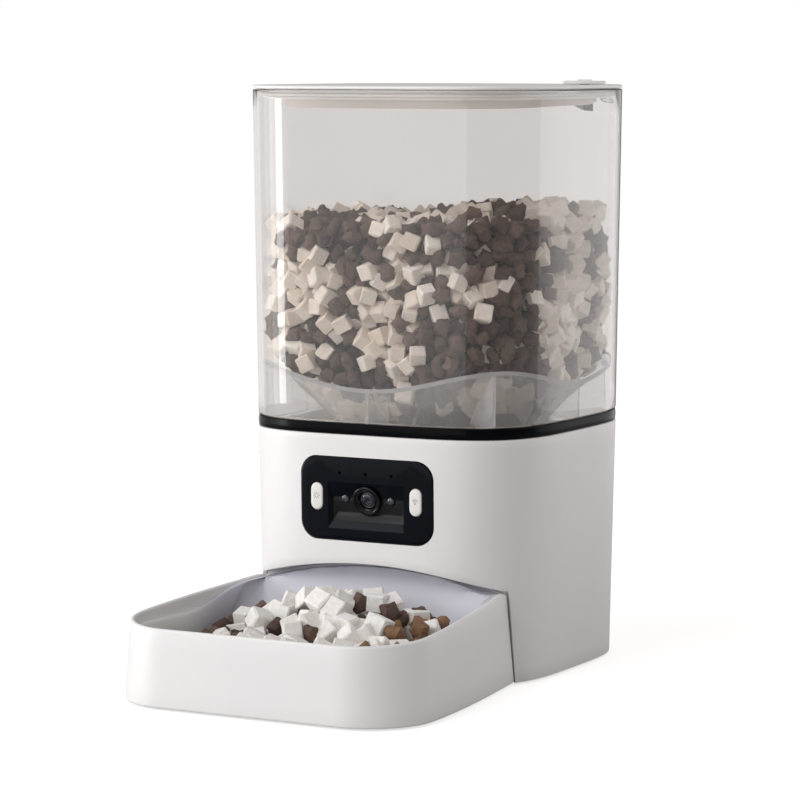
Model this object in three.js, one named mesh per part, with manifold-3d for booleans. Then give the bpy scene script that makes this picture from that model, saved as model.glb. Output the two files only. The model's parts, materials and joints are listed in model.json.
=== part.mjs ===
// Automatic pet feeder: a square-round base with a camera panel, a clear food tank with a conical
// funnel, a lift-off lid, a pull-out tray, and a pocket rotor turned by a small gear motor.
// Millimetres, +Z up. The origin is on the floor, under the middle of the whole feeder.
import * as THREE from "three";
import { mergeVertices } from "three/addons/utils/BufferGeometryUtils.js";
import { ConvexGeometry } from "three/addons/geometries/ConvexGeometry.js";
import Module from "manifold-3d";

const wasm = await Module();
wasm.setup();

// ---------------------------------------------------------------- driving dimensions

const BODY_HALF_WIDTH = 91.2; // plan outline at the seam between base and tank
const BODY_HALF_DEPTH = 88.1;
const SQUARENESS = 3.84; // exponent of the superellipse that is the plan outline
const OUTLINE_SIDES = 56;
const SEAM_Z = 138; // top edge of the base housing
const BAND_TOP_Z = 144.5;
const RIM_Z = 330; // top edge of the tank
const FLOOR_SCALE = 0.9713; // size of the outline on the floor, relative to the seam
const RIM_SCALE = 1.0255; // and at the rim of the tank
const WALL = 2.5; // housing and tank wall
const GAP = 0.3; // between pieces that touch
const CLEAR_Z = 1.2; // housing and tray edges stand this far off the floor

const TRAY_FRONT_Y = -219.4; // tray outline on the floor, from the centre of the base
const TRAY_REAR_Y = -62.2;
const TRAY_REAR_LEAN = 0.094; // the joint with the base leans forwards by this share of its height
const TRAY_HALF_WIDTH = 92.6;
const TRAY_REAR_HALF_WIDTH = 80.4;
const TRAY_CORNER = 38;
const TRAY_DRAFT = 0.000625; // the tray shrinks by this share per millimetre of height
const TRAY_CENTRE_Y = -130; // and draws in towards this line
const TRAY_WALL = 3;
const CHUTE_MOUTH = { halfWidth: 29, front: -81.4, rear: -69.4, z: 69 };
const RIM_FRONT_Z = 44; // tray rim at the front
const RIM_REAR_Z = 53.4; // and where it meets the base

const ARCH_TOP_Z = 66; // lower edge of the base front over the tray
const ARCH_RADIUS = 294;

const PANEL = { width: 84, height: 47, corner: 10.8, z: 101.7, proud: 0.4 };
const BUTTON = { x: 31.4, z: 102.3, width: 7.6, height: 15.5 };
const HOOD = { halfWidth: 24.5, lowHalfWidth: 20.5, top: 111, step: 93.5, bottom: 84, depth: 5.5 };
const LENS_Z = 101.5;
const LENS_TILT = THREE.MathUtils.radToDeg(Math.atan2(HOOD.depth, HOOD.top - HOOD.step));
const IR_X = 14.5;
const PINHOLE = { x: 16.5, z: 116.3 };

const FUNNEL_SLOPE = 0.69; // rise over run of the cone
const FUNNEL_WALL_RADIUS = 85.4; // the cone meets the tank wall at this radius
const FUNNEL_WALL_Z = 164; // and height, at the middle of each side
const NECK_RADIUS = 48;

const CHAMBER = { radius: 51, floor: 109, top: 134.7 };
const ROTOR = { radius: 49.5, bottom: 112, top: 133, vanes: 6, hub: 12 };
const SHAFT_RADIUS = 4;

const TEETH = { output: 40, idlerSmall: 12, idlerLarge: 36, pinion: 10 }; // module 1
const IDLER = { x: 0, y: (TEETH.output + TEETH.idlerSmall) / 2 };
const PINION_ANGLE = THREE.MathUtils.degToRad(34.35);
const PINION_DISTANCE = (TEETH.idlerLarge + TEETH.pinion) / 2;
const PINION = {
  x: PINION_DISTANCE * Math.cos(PINION_ANGLE),
  y: IDLER.y + PINION_DISTANCE * Math.sin(PINION_ANGLE),
};

const CELL = { radius: 16.6, pitch: 34.2 }; // D size
const CELL_Z = 23.2;
const BATTERY = { halfWidth: 52, front: -2, rear: 64.4, bottom: 5.8, top: 41 };
const JACK = { x: 35, z: 20 };
const SPEAKER = { x: -30, z: 68, radius: 18 };
const POSTS = [[-81, -28], [81, -28], [-79, 45], [79, 45]];
const KNOB = { x: 66, y: 56, locked: 42, open: 132 }; // the two ways the cam's arm points

// the whole feeder reaches from the tray's front edge to the rim of the tank at the back
const BASE_Y = -(TRAY_FRONT_Y + BODY_HALF_DEPTH * RIM_SCALE) / 2;

// ---------------------------------------------------------------- materials

function material(color, roughness, metalness = 0, opacity = 1) {
  return new THREE.MeshStandardMaterial({ color, roughness, metalness, opacity, transparent: opacity < 1 });
}

const whiteShell = material(0xeeecea, 0.42);
const clearTank = material(0xcfc8c2, 0.08, 0, 0.35);
const blackGloss = material(0x0b0d12, 0.15);
const blackSatin = material(0x17191b, 0.45);
const glassLens = material(0x0a0d18, 0.03);
const buttonWhite = material(0xf3f1ec, 0.35);
const softGrey = material(0x8d8f90, 0.7);
const rotorGreen = material(0x9fb7ae, 0.5);
const nylon = material(0xe9e4d4, 0.45);
const steel = material(0xb9bcc0, 0.3, 1);
const boardGreen = material(0x1f5a3a, 0.5);
const rubber = material(0x2a2b2c, 0.85);
const cellWrap = material(0x5d6d74, 0.4);

// ---------------------------------------------------------------- solids

// A closed geometry as a solid that can be joined and cut.
function solid(geometry) {
  const bare = geometry.clone();
  bare.deleteAttribute("normal");
  bare.deleteAttribute("uv");
  const merged = mergeVertices(bare, 1e-4);
  const triVerts = new Uint32Array(merged.index.array);
  return new wasm.Manifold(
    new wasm.Mesh({ numProp: 3, vertProperties: merged.attributes.position.array, triVerts }),
  );
}

// A solid as a geometry that a mesh can show.
function geometryOf(body) {
  const { vertProperties, triVerts } = body.getMesh();
  const geometry = new THREE.BufferGeometry();
  geometry.setAttribute("position", new THREE.BufferAttribute(vertProperties, 3));
  geometry.setIndex(new THREE.BufferAttribute(triVerts, 1));
  geometry.computeVertexNormals();
  return geometry;
}

function join(bodies) {
  return bodies.reduce((whole, next) => whole.add(next));
}

function block(x0, x1, y0, y1, z0, z1) {
  const box = new THREE.BoxGeometry(x1 - x0, y1 - y0, z1 - z0);
  return solid(box.translate((x0 + x1) / 2, (y0 + y1) / 2, (z0 + z1) / 2));
}

// An upright cylinder.
function post(radius, z0, z1, x = 0, y = 0, sides = 20) {
  const cylinder = new THREE.CylinderGeometry(radius, radius, z1 - z0, sides).rotateX(Math.PI / 2);
  return solid(cylinder.translate(x, y, (z0 + z1) / 2));
}

// A cylinder that lies along Y.
function rod(radius, y0, y1, x, z, sides = 20) {
  const cylinder = new THREE.CylinderGeometry(radius, radius, y1 - y0, sides);
  return solid(cylinder.translate(x, (y0 + y1) / 2, z));
}

// A body of revolution about Z: the profile is a closed list of [radius, z].
function turned(profile, sides = 48) {
  const points = [...profile, profile[0]].map(([r, z]) => new THREE.Vector2(r, z));
  return solid(new THREE.LatheGeometry(points, sides).rotateX(Math.PI / 2));
}

// A plan shape raised from z0 to z1.
function raised(shape, z0, z1, steps = 1) {
  const options = { depth: z1 - z0, bevelEnabled: false, steps, curveSegments: 10 };
  return new THREE.ExtrudeGeometry(shape, options).translate(0, 0, z0);
}

// A shape drawn in X and Z, carried along Y from y0 to y1.
function slab(shape, y0, y1) {
  const options = { depth: y1 - y0, bevelEnabled: false, curveSegments: 10 };
  return new THREE.ExtrudeGeometry(shape, options).rotateX(Math.PI / 2).translate(0, y1, 0);
}

function roundedRectangle(width, height, corner, x = 0, y = 0) {
  const w = width / 2 - corner;
  const h = height / 2 - corner;
  const shape = new THREE.Shape();
  shape.absarc(x + w, y + h, corner, 0, Math.PI / 2);
  shape.absarc(x - w, y + h, corner, Math.PI / 2, Math.PI);
  shape.absarc(x - w, y - h, corner, Math.PI, 1.5 * Math.PI);
  shape.absarc(x + w, y - h, corner, 1.5 * Math.PI, 2 * Math.PI);
  shape.closePath();
  return shape;
}

// ---------------------------------------------------------------- the body's outline

// Size of the plan outline at height z, relative to the seam.
function draftAt(z) {
  if (z < SEAM_Z) return FLOOR_SCALE + ((1 - FLOOR_SCALE) * z) / SEAM_Z;
  if (z < BAND_TOP_Z) return 1;
  return 1 + ((RIM_SCALE - 1) * (z - BAND_TOP_Z)) / (RIM_Z - BAND_TOP_Z);
}

// Superellipse |x/a|^n + |y/b|^n = 1, drawn in by an inset.
function bodyOutline(inset) {
  const power = (v) => Math.sign(v) * Math.abs(v) ** (2 / SQUARENESS);
  const points = [];
  for (let i = 0; i < OUTLINE_SIDES; i++) {
    const t = (2 * Math.PI * i) / OUTLINE_SIDES;
    const x = (BODY_HALF_WIDTH - inset) * power(Math.cos(t));
    const y = (BODY_HALF_DEPTH - inset) * power(Math.sin(t));
    points.push(new THREE.Vector2(x, y));
  }
  return new THREE.Shape(points);
}

// The body's outline raised from z0 to z1, following its draft.
function bodySolid(inset, z0, z1) {
  const geometry = raised(bodyOutline(inset), z0, z1);
  const position = geometry.attributes.position;
  for (let i = 0; i < position.count; i++) {
    const scale = draftAt(position.getZ(i));
    position.setXY(i, position.getX(i) * scale, position.getY(i) * scale);
  }
  return solid(geometry);
}

function bodyRing(outerInset, innerInset, z0, z1) {
  return bodySolid(outerInset, z0, z1).subtract(bodySolid(innerInset, z0 - 1, z1 + 1));
}

// ---------------------------------------------------------------- the tray bay under the arch

// Half-depth of the body's front face in the middle, at height z.
function frontY(z) {
  return -BODY_HALF_DEPTH * draftAt(z);
}

function archZ(x) {
  return ARCH_TOP_Z - (x * x) / (2 * ARCH_RADIUS);
}

// The space under the arch: grown upwards and backwards by the given amounts.
function bay(up, back) {
  const reach = 110;
  const shape = new THREE.Shape([new THREE.Vector2(-reach, -5), new THREE.Vector2(reach, -5)]);
  for (let i = 10; i >= -10; i--) shape.lineTo((reach * i) / 10, archZ((reach * i) / 10) + up);
  return solid(leaned(slab(shape, -240, TRAY_REAR_Y + back)));
}

// Tips the rear end of a tray or bay shape forwards as it rises.
function leaned(geometry) {
  const position = geometry.attributes.position;
  for (let i = 0; i < position.count; i++) {
    const y = position.getY(i);
    if (y > -90) position.setY(i, y - TRAY_REAR_LEAN * position.getZ(i));
  }
  return geometry;
}

// ---------------------------------------------------------------- base housing and its covers

function baseHousing() {
  const shell = bodyRing(0, WALL, CLEAR_Z, SEAM_Z);
  const opening = roundedRectangle(PANEL.width + 2 * GAP, PANEL.height + 2 * GAP, PANEL.corner, 0, PANEL.z);
  const window = solid(slab(opening, -100, -60));
  const jackHole = rod(4.6, 76, 95, JACK.x, JACK.z);
  const slots = [-2, -1, 0, 1, 2].map((i) =>
    block(SPEAKER.x - 12, SPEAKER.x + 12, 76, 95, SPEAKER.z + 6 * i - 1, SPEAKER.z + 6 * i + 1),
  );
  const posts = POSTS.map(([x, y]) => post(5, 6, 30, x, y).subtract(post(1.3, 5, 20, x, y, 10)));
  const inside = bodySolid(WALL - 0.4, 0, SEAM_Z);
  const shellWithPosts = shell.add(join(posts).intersect(inside));
  return shellWithPosts.subtract(bay(0, 0.8)).subtract(window).subtract(jackHole).subtract(join(slots));
}

function trayBay() {
  const liner = bay(2.5, 3.3).subtract(bay(0, 0.8)).intersect(bodySolid(WALL + GAP, 2.3, 75));
  const { halfWidth, front, rear } = CHUTE_MOUTH;
  return liner.subtract(block(-halfWidth - 1, halfWidth + 1, front - 0.4, rear + 0.4, 60, 75));
}

function trimBand() {
  return bodyRing(0.2, 4.5, SEAM_Z + 0.1, BAND_TOP_Z);
}

function deck() {
  const plate = bodySolid(WALL + GAP, 134.9 + 0.1, 137.7);
  return plate.subtract(post(53, 130, 140, 0, 0, 48));
}

function bottomCover() {
  const plate = bodySolid(WALL + GAP, 2, 5.5).subtract(bay(10, 3.7));
  const doorway = block(-50, 50, 4, 60, 0, 8);
  const doorRecess = block(-54.3, 54.3, -0.3, 74, 0, 3.9);
  const bores = POSTS.map(([x, y]) => post(3.6, 0, 3.7, x, y).add(post(1.8, 0, 8, x, y, 12)));
  return plate.subtract(doorway).subtract(doorRecess).subtract(join(bores));
}

function batteryDoor() {
  const plate = block(-54, 54, 0, 65.7, 2, 3.6);
  const ribs = [0, 1, 2].map((i) => block(-12, 12, 8 + 3 * i, 9.2 + 3 * i, 1.4, 2.2));
  return join([plate, ...ribs]);
}

function batteryBox() {
  const { halfWidth: w, front, rear, bottom, top } = BATTERY;
  const box = block(-w - 2, w + 2, front - 2, rear + 2, bottom, top + 2);
  return box.subtract(block(-w, w, front, rear, bottom - 1, top));
}

function batteryCell(x) {
  const can = rod(CELL.radius, 0.8, 58.8, x, CELL_Z, 24);
  return can.add(rod(4.6, 58.5, 60.3, x, CELL_Z, 16));
}

// Spring strip along the flat ends of the cells.
function springContact() {
  const strip = block(-44, 44, -1.7, -1.2, 20, 26);
  const pads = [-1, 0, 1].map((i) => rod(5, -1.4, 0.5, i * CELL.pitch, CELL_Z, 12));
  return join([strip, ...pads]);
}

function plateContact() {
  return block(-44, 44, 60.6, 61.2, 19, 27);
}

function foot(x, y, radius) {
  const profile = [[0, 0], [radius - 0.6, 0], [radius, 0.6], [radius, 1.7], [0, 1.7]];
  return new THREE.LatheGeometry(profile.map(([r, z]) => new THREE.Vector2(r, z)), 20)
    .rotateX(Math.PI / 2)
    .translate(x, y, 0);
}

function coverScrew(x, y) {
  return post(3.1, 2.1, 3.4, x, y, 14).add(post(1.1, 3.2, 16, x, y, 8));
}

// ---------------------------------------------------------------- camera panel

const LENS_Y = frontY(PANEL.z) - PANEL.proud + (HOOD.depth * (HOOD.top - LENS_Z)) / (HOOD.top - HOOD.step);

function panelCut(grow) {
  return slab(
    roundedRectangle(PANEL.width + grow, PANEL.height + grow, PANEL.corner + grow / 2, 0, PANEL.z),
    -100,
    -60,
  );
}

// The sunken camera window: a rectangle in the front face whose floor falls back to one low edge.
function hoodCavity() {
  const { halfWidth: w, lowHalfWidth: v, top, step, bottom, depth } = HOOD;
  const face = frontY(PANEL.z) - PANEL.proud;
  const points = [-1, 1].flatMap((side) => [
    new THREE.Vector3(side * w, -95, top),
    new THREE.Vector3(side * w, -95, bottom),
    new THREE.Vector3(side * w, face, top),
    new THREE.Vector3(side * w, face, bottom),
    new THREE.Vector3(side * v, face + depth, step),
  ]);
  return solid(new ConvexGeometry(points));
}

function capsule(width, height, x, z) {
  return roundedRectangle(width, height, width / 2 - 0.01, x, z);
}

function cameraPanel() {
  const skin = bodySolid(-PANEL.proud, 70, 130).subtract(bodySolid(WALL - 0.3, 69, 131));
  const plate = skin.intersect(solid(panelCut(0)));
  const slots = [-1, 1].map((s) =>
    solid(slab(capsule(BUTTON.width + 0.6, BUTTON.height + 0.6, s * BUTTON.x, BUTTON.z), -95, -80)),
  );
  const pinholes = [-1, 0, 1].map((s) => rod(1, -95, -80, s * PINHOLE.x, PINHOLE.z, 10));
  const lensSeat = tilted(post(9, -6, 6, 0, 0, 32));
  return plate.subtract(join([hoodCavity(), lensSeat, ...lampBores(), ...slots, ...pinholes]));
}

function lampBores() {
  return [-IR_X, IR_X].map((x) => tilted(post(2.7, -12, 6, x, 0, 20)));
}

function cameraHood() {
  const tub = block(-25.9, 25.9, -84.4, -79.6, 81.5, 113);
  const lensBore = tilted(post(7.3, -12, 6, 0, 0, 28));
  return tub.subtract(join([hoodCavity(), lensBore, ...lampBores()]));
}

// Carries a solid from the camera's own frame, +Z out of the lens, to the tilted window plate.
function tilted(body) {
  return body.rotate([90 + LENS_TILT, 0, 0]).translate([0, LENS_Y, LENS_Z]);
}

function lensRing() {
  const profile = [
    [5.2, -7], [7, -7], [7, 0.4], [8.7, 0.4], [8.7, 1.8], [8.1, 2.5], [6.4, 2.5], [5.2, 1.2],
  ];
  return turned(profile, 32);
}

function cameraLens() {
  return turned([[0, -6], [4.8, -6], [4.8, 0.2], [3.6, 0.9], [0, 1.3]], 24);
}

function infraredLamp(x) {
  return turned([[0, -5], [2.3, -5], [2.3, 0.2], [1.5, 0.9], [0, 1.2]], 14).translate([x, 0, 0]);
}

function cameraBoard() {
  const board = block(-21, 21, -8.5, 6, -9.3, -7.8);
  return board.add(block(-6, 6, -6, 6, -12, -9));
}

// Board behind the panel, with a small push switch under each button.
function panelBoard() {
  const board = block(-39, 39, -79.2, -77.6, 81, 121).subtract(block(-28, 28, -85, -70, 80, 114));
  const switches = [-BUTTON.x, BUTTON.x].flatMap((x) => [
    block(x - 3, x + 3, -80.6, -79, BUTTON.z - 3, BUTTON.z + 3),
    rod(1.7, -81.6, -80.5, x, BUTTON.z, 10),
  ]);
  return join([board, ...switches]);
}

function panelButton(x) {
  const cap = solid(slab(capsule(BUTTON.width, BUTTON.height, x, BUTTON.z), -87.9, -83.8));
  const flange = solid(slab(capsule(BUTTON.width + 2.6, BUTTON.height + 2.6, x, BUTTON.z), -84.2, -82.8));
  return cap.add(flange);
}

// ---------------------------------------------------------------- dispenser

function rotorChamber() {
  const { radius, floor, top } = CHAMBER;
  const tub = turned([
    [SHAFT_RADIUS + 0.5, floor], [radius + 2, floor], [radius + 2, top - 2], [radius + 10, top - 2],
    [radius + 10, top], [radius, top], [radius, floor + 2], [SHAFT_RADIUS + 0.5, floor + 2],
  ]);
  return tub.subtract(block(-24, 24, -48.5, -28, floor - 1, floor + 3));
}

// A straight-sided duct between two level rectangles [x half width, y front, y rear, z].
function duct(top, bottom, grow, over) {
  const corners = ([w, y0, y1, z], dz) =>
    [-1, 1].flatMap((s) => [
      new THREE.Vector3(s * (w + grow), y0 - grow, z + dz),
      new THREE.Vector3(s * (w + grow), y1 + grow, z + dz),
    ]);
  const slope = (a, b) => (a - b) / (top[3] - bottom[3]);
  const lean = (end, dz) => [
    end[0],
    end[1] + dz * slope(top[1], bottom[1]),
    end[2] + dz * slope(top[2], bottom[2]),
    end[3],
  ];
  const ends = [...corners(lean(top, over), over), ...corners(lean(bottom, -over), -over)];
  return solid(new ConvexGeometry(ends));
}

function chute() {
  const top = [24, -48, -28, CHAMBER.floor - 0.4];
  const bottom = [CHUTE_MOUTH.halfWidth, CHUTE_MOUTH.front, CHUTE_MOUTH.rear, CHUTE_MOUTH.z];
  return duct(top, bottom, 2, 0).subtract(duct(top, bottom, 0, 1));
}

function rotor() {
  const { radius, bottom, top, vanes, hub } = ROTOR;
  const height = [bottom, top];
  const blades = [];
  for (let i = 0; i < vanes; i++) {
    blades.push(block(hub - 1, radius, -1.5, 1.5, ...height).rotate([0, 0, (360 * (i + 0.5)) / vanes]));
  }
  const core = join([post(hub, ...height, 0, 0, 24), ...blades]);
  return core.subtract(post(SHAFT_RADIUS + GAP, bottom - 1, top - 3, 0, 0, 16));
}

// Soft cross on the rotor's hub that keeps the food above it moving.
function stirrer() {
  const hub = turned([[0, 133.3], [9, 133.3], [9, 136], [5, 146], [0, 147]], 20);
  const arm = block(-18, 18, -2, 2, 134.8, 139);
  return join([hub, arm, arm.rotate([0, 0, 60]), arm.rotate([0, 0, 120])]);
}

// A spur gear of module 1 with straight-flanked teeth; one tooth is centred on the phase angle.
function gear(teeth, phase, bore, z0, z1) {
  const pitch = teeth / 2;
  const flank = [
    [pitch - 1.25, -0.98], [pitch + 0.85, -0.34], [pitch + 0.85, 0.34], [pitch - 1.25, 0.98],
  ];
  const points = [];
  for (let i = 0; i < teeth; i++) {
    const centre = phase + (2 * Math.PI * i) / teeth;
    for (const [radius, half] of flank) {
      const angle = centre + half / radius;
      points.push(new THREE.Vector2(radius * Math.cos(angle), radius * Math.sin(angle)));
    }
  }
  const shape = new THREE.Shape(points);
  shape.holes.push(new THREE.Path().absarc(0, 0, bore, 0, 2 * Math.PI, true));
  return solid(raised(shape, z0, z1));
}

function gapPhase(angle, teeth) {
  return angle + Math.PI / teeth;
}

function idlerGear() {
  const large = gear(TEETH.idlerLarge, PINION_ANGLE, 1.8, 90, 96);
  const small = gear(TEETH.idlerSmall, gapPhase(-Math.PI / 2, TEETH.idlerSmall), 1.8, 95, 104);
  return large.add(small).translate([IDLER.x, IDLER.y, 0]);
}

function motorPinion() {
  const teeth = gear(TEETH.pinion, gapPhase(PINION_ANGLE + Math.PI, TEETH.pinion), 1, 90.2, 95.8);
  return teeth.add(post(1.2, 82, 97, 0, 0, 12)).translate([PINION.x, PINION.y, 0]);
}

function gearboxCase() {
  const outer = solid(raised(roundedRectangle(58.5, 76, 9, 3.7, 14), 86, 106));
  const inner = solid(raised(roundedRectangle(54.5, 72, 7, 3.7, 14), 88, 107));
  const shaftBore = post(3.4, 85, 89, PINION.x, PINION.y, 16);
  return outer.subtract(inner).subtract(shaftBore);
}

function gearboxLid() {
  const plate = solid(raised(roundedRectangle(58.5, 76, 9, 3.7, 14), 106.3, 108.6));
  return plate.subtract(post(SHAFT_RADIUS + GAP, 105, 110, 0, 0, 20));
}

function motor() {
  const can = post(12.2, 52, 83.4, PINION.x, PINION.y, 28);
  const boss = post(3, 83.2, 87.6, PINION.x, PINION.y, 16);
  const tabs = block(PINION.x - 5, PINION.x + 5, PINION.y - 1, PINION.y + 1, 49, 52.2);
  return join([can, boss, tabs]).subtract(post(1.5, 81, 90, PINION.x, PINION.y, 12));
}

// ---------------------------------------------------------------- electronics in the base

function controlBoard() {
  const board = block(-79.6, -78, -40, 40, 34, 96);
  const parts = [
    block(-78.2, -75.4, -12, 8, 52, 72), // radio module
    block(-78.2, -74, 18, 34, 40, 48), // motor connector
    block(-78.2, -74, -34, -22, 40, 48), // camera connector
    rod(4, -30, -20, -74.2, 82, 14), // reservoir capacitor
    block(-78.2, -76.4, 14, 24, 62, 72), // processor
  ];
  return join([board, ...parts]);
}

function speaker() {
  const frame = rod(SPEAKER.radius, 77.4, 81, SPEAKER.x, SPEAKER.z, 28);
  const basket = rod(SPEAKER.radius - 4, 73, 77.6, SPEAKER.x, SPEAKER.z, 24);
  const magnet = rod(8, 69, 73.2, SPEAKER.x, SPEAKER.z, 20);
  const cone = rod(SPEAKER.radius - 3, 79.2, 82, SPEAKER.x, SPEAKER.z, 28);
  return join([frame, basket, magnet]).subtract(cone);
}

function powerJack() {
  const body = block(JACK.x - 5.5, JACK.x + 5.5, 70, 81.5, JACK.z - 6, JACK.z + 6);
  const nose = rod(4.2, 81, 85.3, JACK.x, JACK.z, 18);
  const socket = rod(2.9, 74, 90, JACK.x, JACK.z, 16).subtract(rod(0.9, 73, 84, JACK.x, JACK.z, 10));
  return body.add(nose).subtract(socket);
}

// ---------------------------------------------------------------- food tank

function tankShell() {
  const wall = bodyRing(0, WALL, BAND_TOP_Z + GAP, RIM_Z);
  const lug = block(10, 30, -4, 4, 319.6, 321.4).rotate([0, 0, KNOB.locked]);
  return wall.add(lug.translate([KNOB.x, KNOB.y, 0]).intersect(bodySolid(1, 310, 328)));
}

// A cone whose top edge follows the wall, its ribs, its neck and the shield over the outlet.
function funnel() {
  const far = 130;
  const coneZ = (r) => FUNNEL_WALL_Z + FUNNEL_SLOPE * (r - FUNNEL_WALL_RADIUS);
  const drop = 2.4;
  const wall = NECK_RADIUS + 2;
  const cone = turned([
    [NECK_RADIUS, 134.2], [wall, 134.2], [wall, coneZ(wall) - drop], [far, coneZ(far) - drop],
    [far, coneZ(far)], [NECK_RADIUS, coneZ(NECK_RADIUS)],
  ], 56);
  const under = turned([[61, 145], [far, 145], [far, coneZ(far) - 1], [61, coneZ(61) - 1]], 56);
  const ribs = [];
  for (let i = 0; i < 8; i++) ribs.push(block(0, far, -0.8, 0.8, 140, 200).rotate([0, 0, 45 * i]));
  const ribbed = cone.add(join(ribs).intersect(under)).intersect(bodySolid(WALL + 0.4, 130, 210));
  const shield = post(NECK_RADIUS + 0.5, 134.4, 136, 0, 0, 40).intersect(block(-60, 60, -60, -21, 130, 140));
  return ribbed.add(shield);
}

// ---------------------------------------------------------------- lid

function lidCover() {
  const plate = bodySolid(0, RIM_Z + GAP, RIM_Z + 2.4);
  return plate.subtract(post(3.4, 325, 340, KNOB.x, KNOB.y, 16));
}

function lidSkirt() {
  return bodyRing(4.2, 6.2, 324.4, RIM_Z);
}

function lidSeal() {
  const ring = bodyRing(2.8, 3.9, 325.6, 328);
  return ring;
}

function lidLiner() {
  const tub = bodySolid(15, 319.2, RIM_Z).subtract(bodySolid(17, 321, 331));
  const tower = post(6, 319.2, RIM_Z, KNOB.x, KNOB.y, 20);
  return tub.add(tower).subtract(post(3.4, 310, 340, KNOB.x, KNOB.y, 16));
}

function lidKnob() {
  const cap = turned([[0, 332.7], [12, 332.7], [12.5, 333.2], [12.3, 334], [11.5, 334.4], [0, 334.4]], 32);
  const ridge = block(-10.5, 10.5, -1.6, 1.6, 334, 335.2).rotate([0, 0, KNOB.open]);
  return cap.add(ridge).translate([KNOB.x, KNOB.y, 0]);
}

// Shaft and arm under the lid; turned a quarter, the arm reaches under the lug in the tank's corner.
function lidCam() {
  const shaft = post(3, 316, 332.4, KNOB.x, KNOB.y, 16);
  const arm = block(-3.5, 14, -3, 3, 315.6, 318.4).rotate([0, 0, KNOB.open]);
  return shaft.add(arm.translate([KNOB.x, KNOB.y, 0]));
}

// ---------------------------------------------------------------- tray

function trayDraft(z) {
  return 1 - TRAY_DRAFT * z;
}

// Straight front, round front corners, and sides that draw in towards the base.
function trayOutline(inset) {
  const w = TRAY_HALF_WIDTH - inset;
  const rear = TRAY_REAR_HALF_WIDTH - inset;
  const front = TRAY_FRONT_Y + inset;
  const back = TRAY_REAR_Y - inset;
  const r = TRAY_CORNER - inset;
  const shape = new THREE.Shape();
  shape.moveTo(rear, back);
  shape.lineTo(-rear, back);
  shape.quadraticCurveTo(-w, -140, -w, front + r);
  shape.absarc(-w + r, front + r, r, Math.PI, 1.5 * Math.PI);
  shape.absarc(w - r, front + r, r, 1.5 * Math.PI, 2 * Math.PI);
  shape.quadraticCurveTo(w, -140, rear, back);
  return shape;
}

function traySolid(inset, z0, z1) {
  const geometry = raised(trayOutline(inset), z0, z1);
  const position = geometry.attributes.position;
  for (let i = 0; i < position.count; i++) {
    const scale = trayDraft(position.getZ(i));
    const y = position.getY(i);
    const drawnIn = y > -90 ? y : TRAY_CENTRE_Y + (y - TRAY_CENTRE_Y) * scale;
    position.setXY(i, position.getX(i) * scale, drawnIn);
  }
  return solid(leaned(geometry));
}

// A prism across the tray: a closed outline of [y, z] carried along X.
function across(profile, halfWidth) {
  const shape = new THREE.Shape(profile.map(([y, z]) => new THREE.Vector2(y, z)));
  const options = { depth: 2 * halfWidth, bevelEnabled: false };
  const prism = new THREE.ExtrudeGeometry(shape, options).rotateX(Math.PI / 2).rotateZ(Math.PI / 2);
  return solid(prism.translate(-halfWidth, 0, 0));
}

function trayShell() {
  const slope = (RIM_REAR_Z - RIM_FRONT_Z) / (TRAY_REAR_Y - TRAY_FRONT_Y);
  const rimZ = (y) => RIM_FRONT_Z + slope * (y - TRAY_FRONT_Y);
  const underRim = across([[-230, -5], [-50, -5], [-50, rimZ(-50)], [-230, rimZ(-230)]], 110);
  const rearWall = bay(-1.5, 10).intersect(block(-110, 110, -74, -40, -5, 80));
  const tub = traySolid(0, CLEAR_Z, 70).subtract(traySolid(TRAY_WALL, CLEAR_Z + 2.6, 80));
  return tub.intersect(underRim.add(rearWall));
}

// Washable inner bowl: level lip at the front and sides, and a ramp up to the outlet at the rear.
function trayBasin() {
  const lip = 40;
  const floor = 7;
  const keep = across([[-230, 0], [-60, 0], [-60, 60], [-75, 60], [-105, lip], [-230, lip]], 110);
  const outer = traySolid(TRAY_WALL + 0.4, CLEAR_Z + 3, 62).intersect(keep).intersect(bay(-3, 0));
  const ramp = across([[-121, 4], [-60, 4], [-60, 60], [-74, 60], [-83, 34], [-99, 15], [-121, floor]], 110);
  const cavity = traySolid(TRAY_WALL + 2.6, floor, 80).subtract(ramp);
  const under = across([[-96, 0], [-62, 0], [-62, 40], [-75, 40], [-81, 24], [-95, 8]], 60);
  return outer.subtract(cavity).subtract(under);
}

// ---------------------------------------------------------------- assembly

const feeder = new THREE.Group();
const placed = new THREE.Group();
placed.position.y = BASE_Y;
feeder.add(placed);

const cameraGroup = new THREE.Group();
cameraGroup.position.set(0, LENS_Y, LENS_Z);
cameraGroup.rotation.x = THREE.MathUtils.degToRad(90 + LENS_TILT);
placed.add(cameraGroup);

function add(name, shape, look, parent = placed) {
  const geometry = shape.isBufferGeometry ? shape : geometryOf(shape);
  const mesh = new THREE.Mesh(geometry, look);
  mesh.name = name;
  parent.add(mesh);
}

// base
add("base_housing", baseHousing(), whiteShell);
add("tray_bay", trayBay(), whiteShell);
add("trim_band", trimBand(), blackGloss);
add("deck", deck(), whiteShell);
add("bottom_cover", bottomCover(), whiteShell);
POSTS.forEach(([x, y], i) => add(`cover_screw_${i + 1}`, coverScrew(x, y), steel));
add("battery_box", batteryBox(), blackSatin);
[-1, 0, 1].forEach((i) => add(`battery_cell_${i + 2}`, batteryCell(i * CELL.pitch), cellWrap));
add("battery_contact_front", springContact(), steel);
add("battery_contact_rear", plateContact(), steel);
add("battery_door", batteryDoor(), whiteShell);
[[-60, -44], [60, -44], [-58, 64], [58, 64]].forEach(([x, y], i) =>
  add(`foot_${i + 1}`, foot(x, y, 7), rubber),
);

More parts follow.
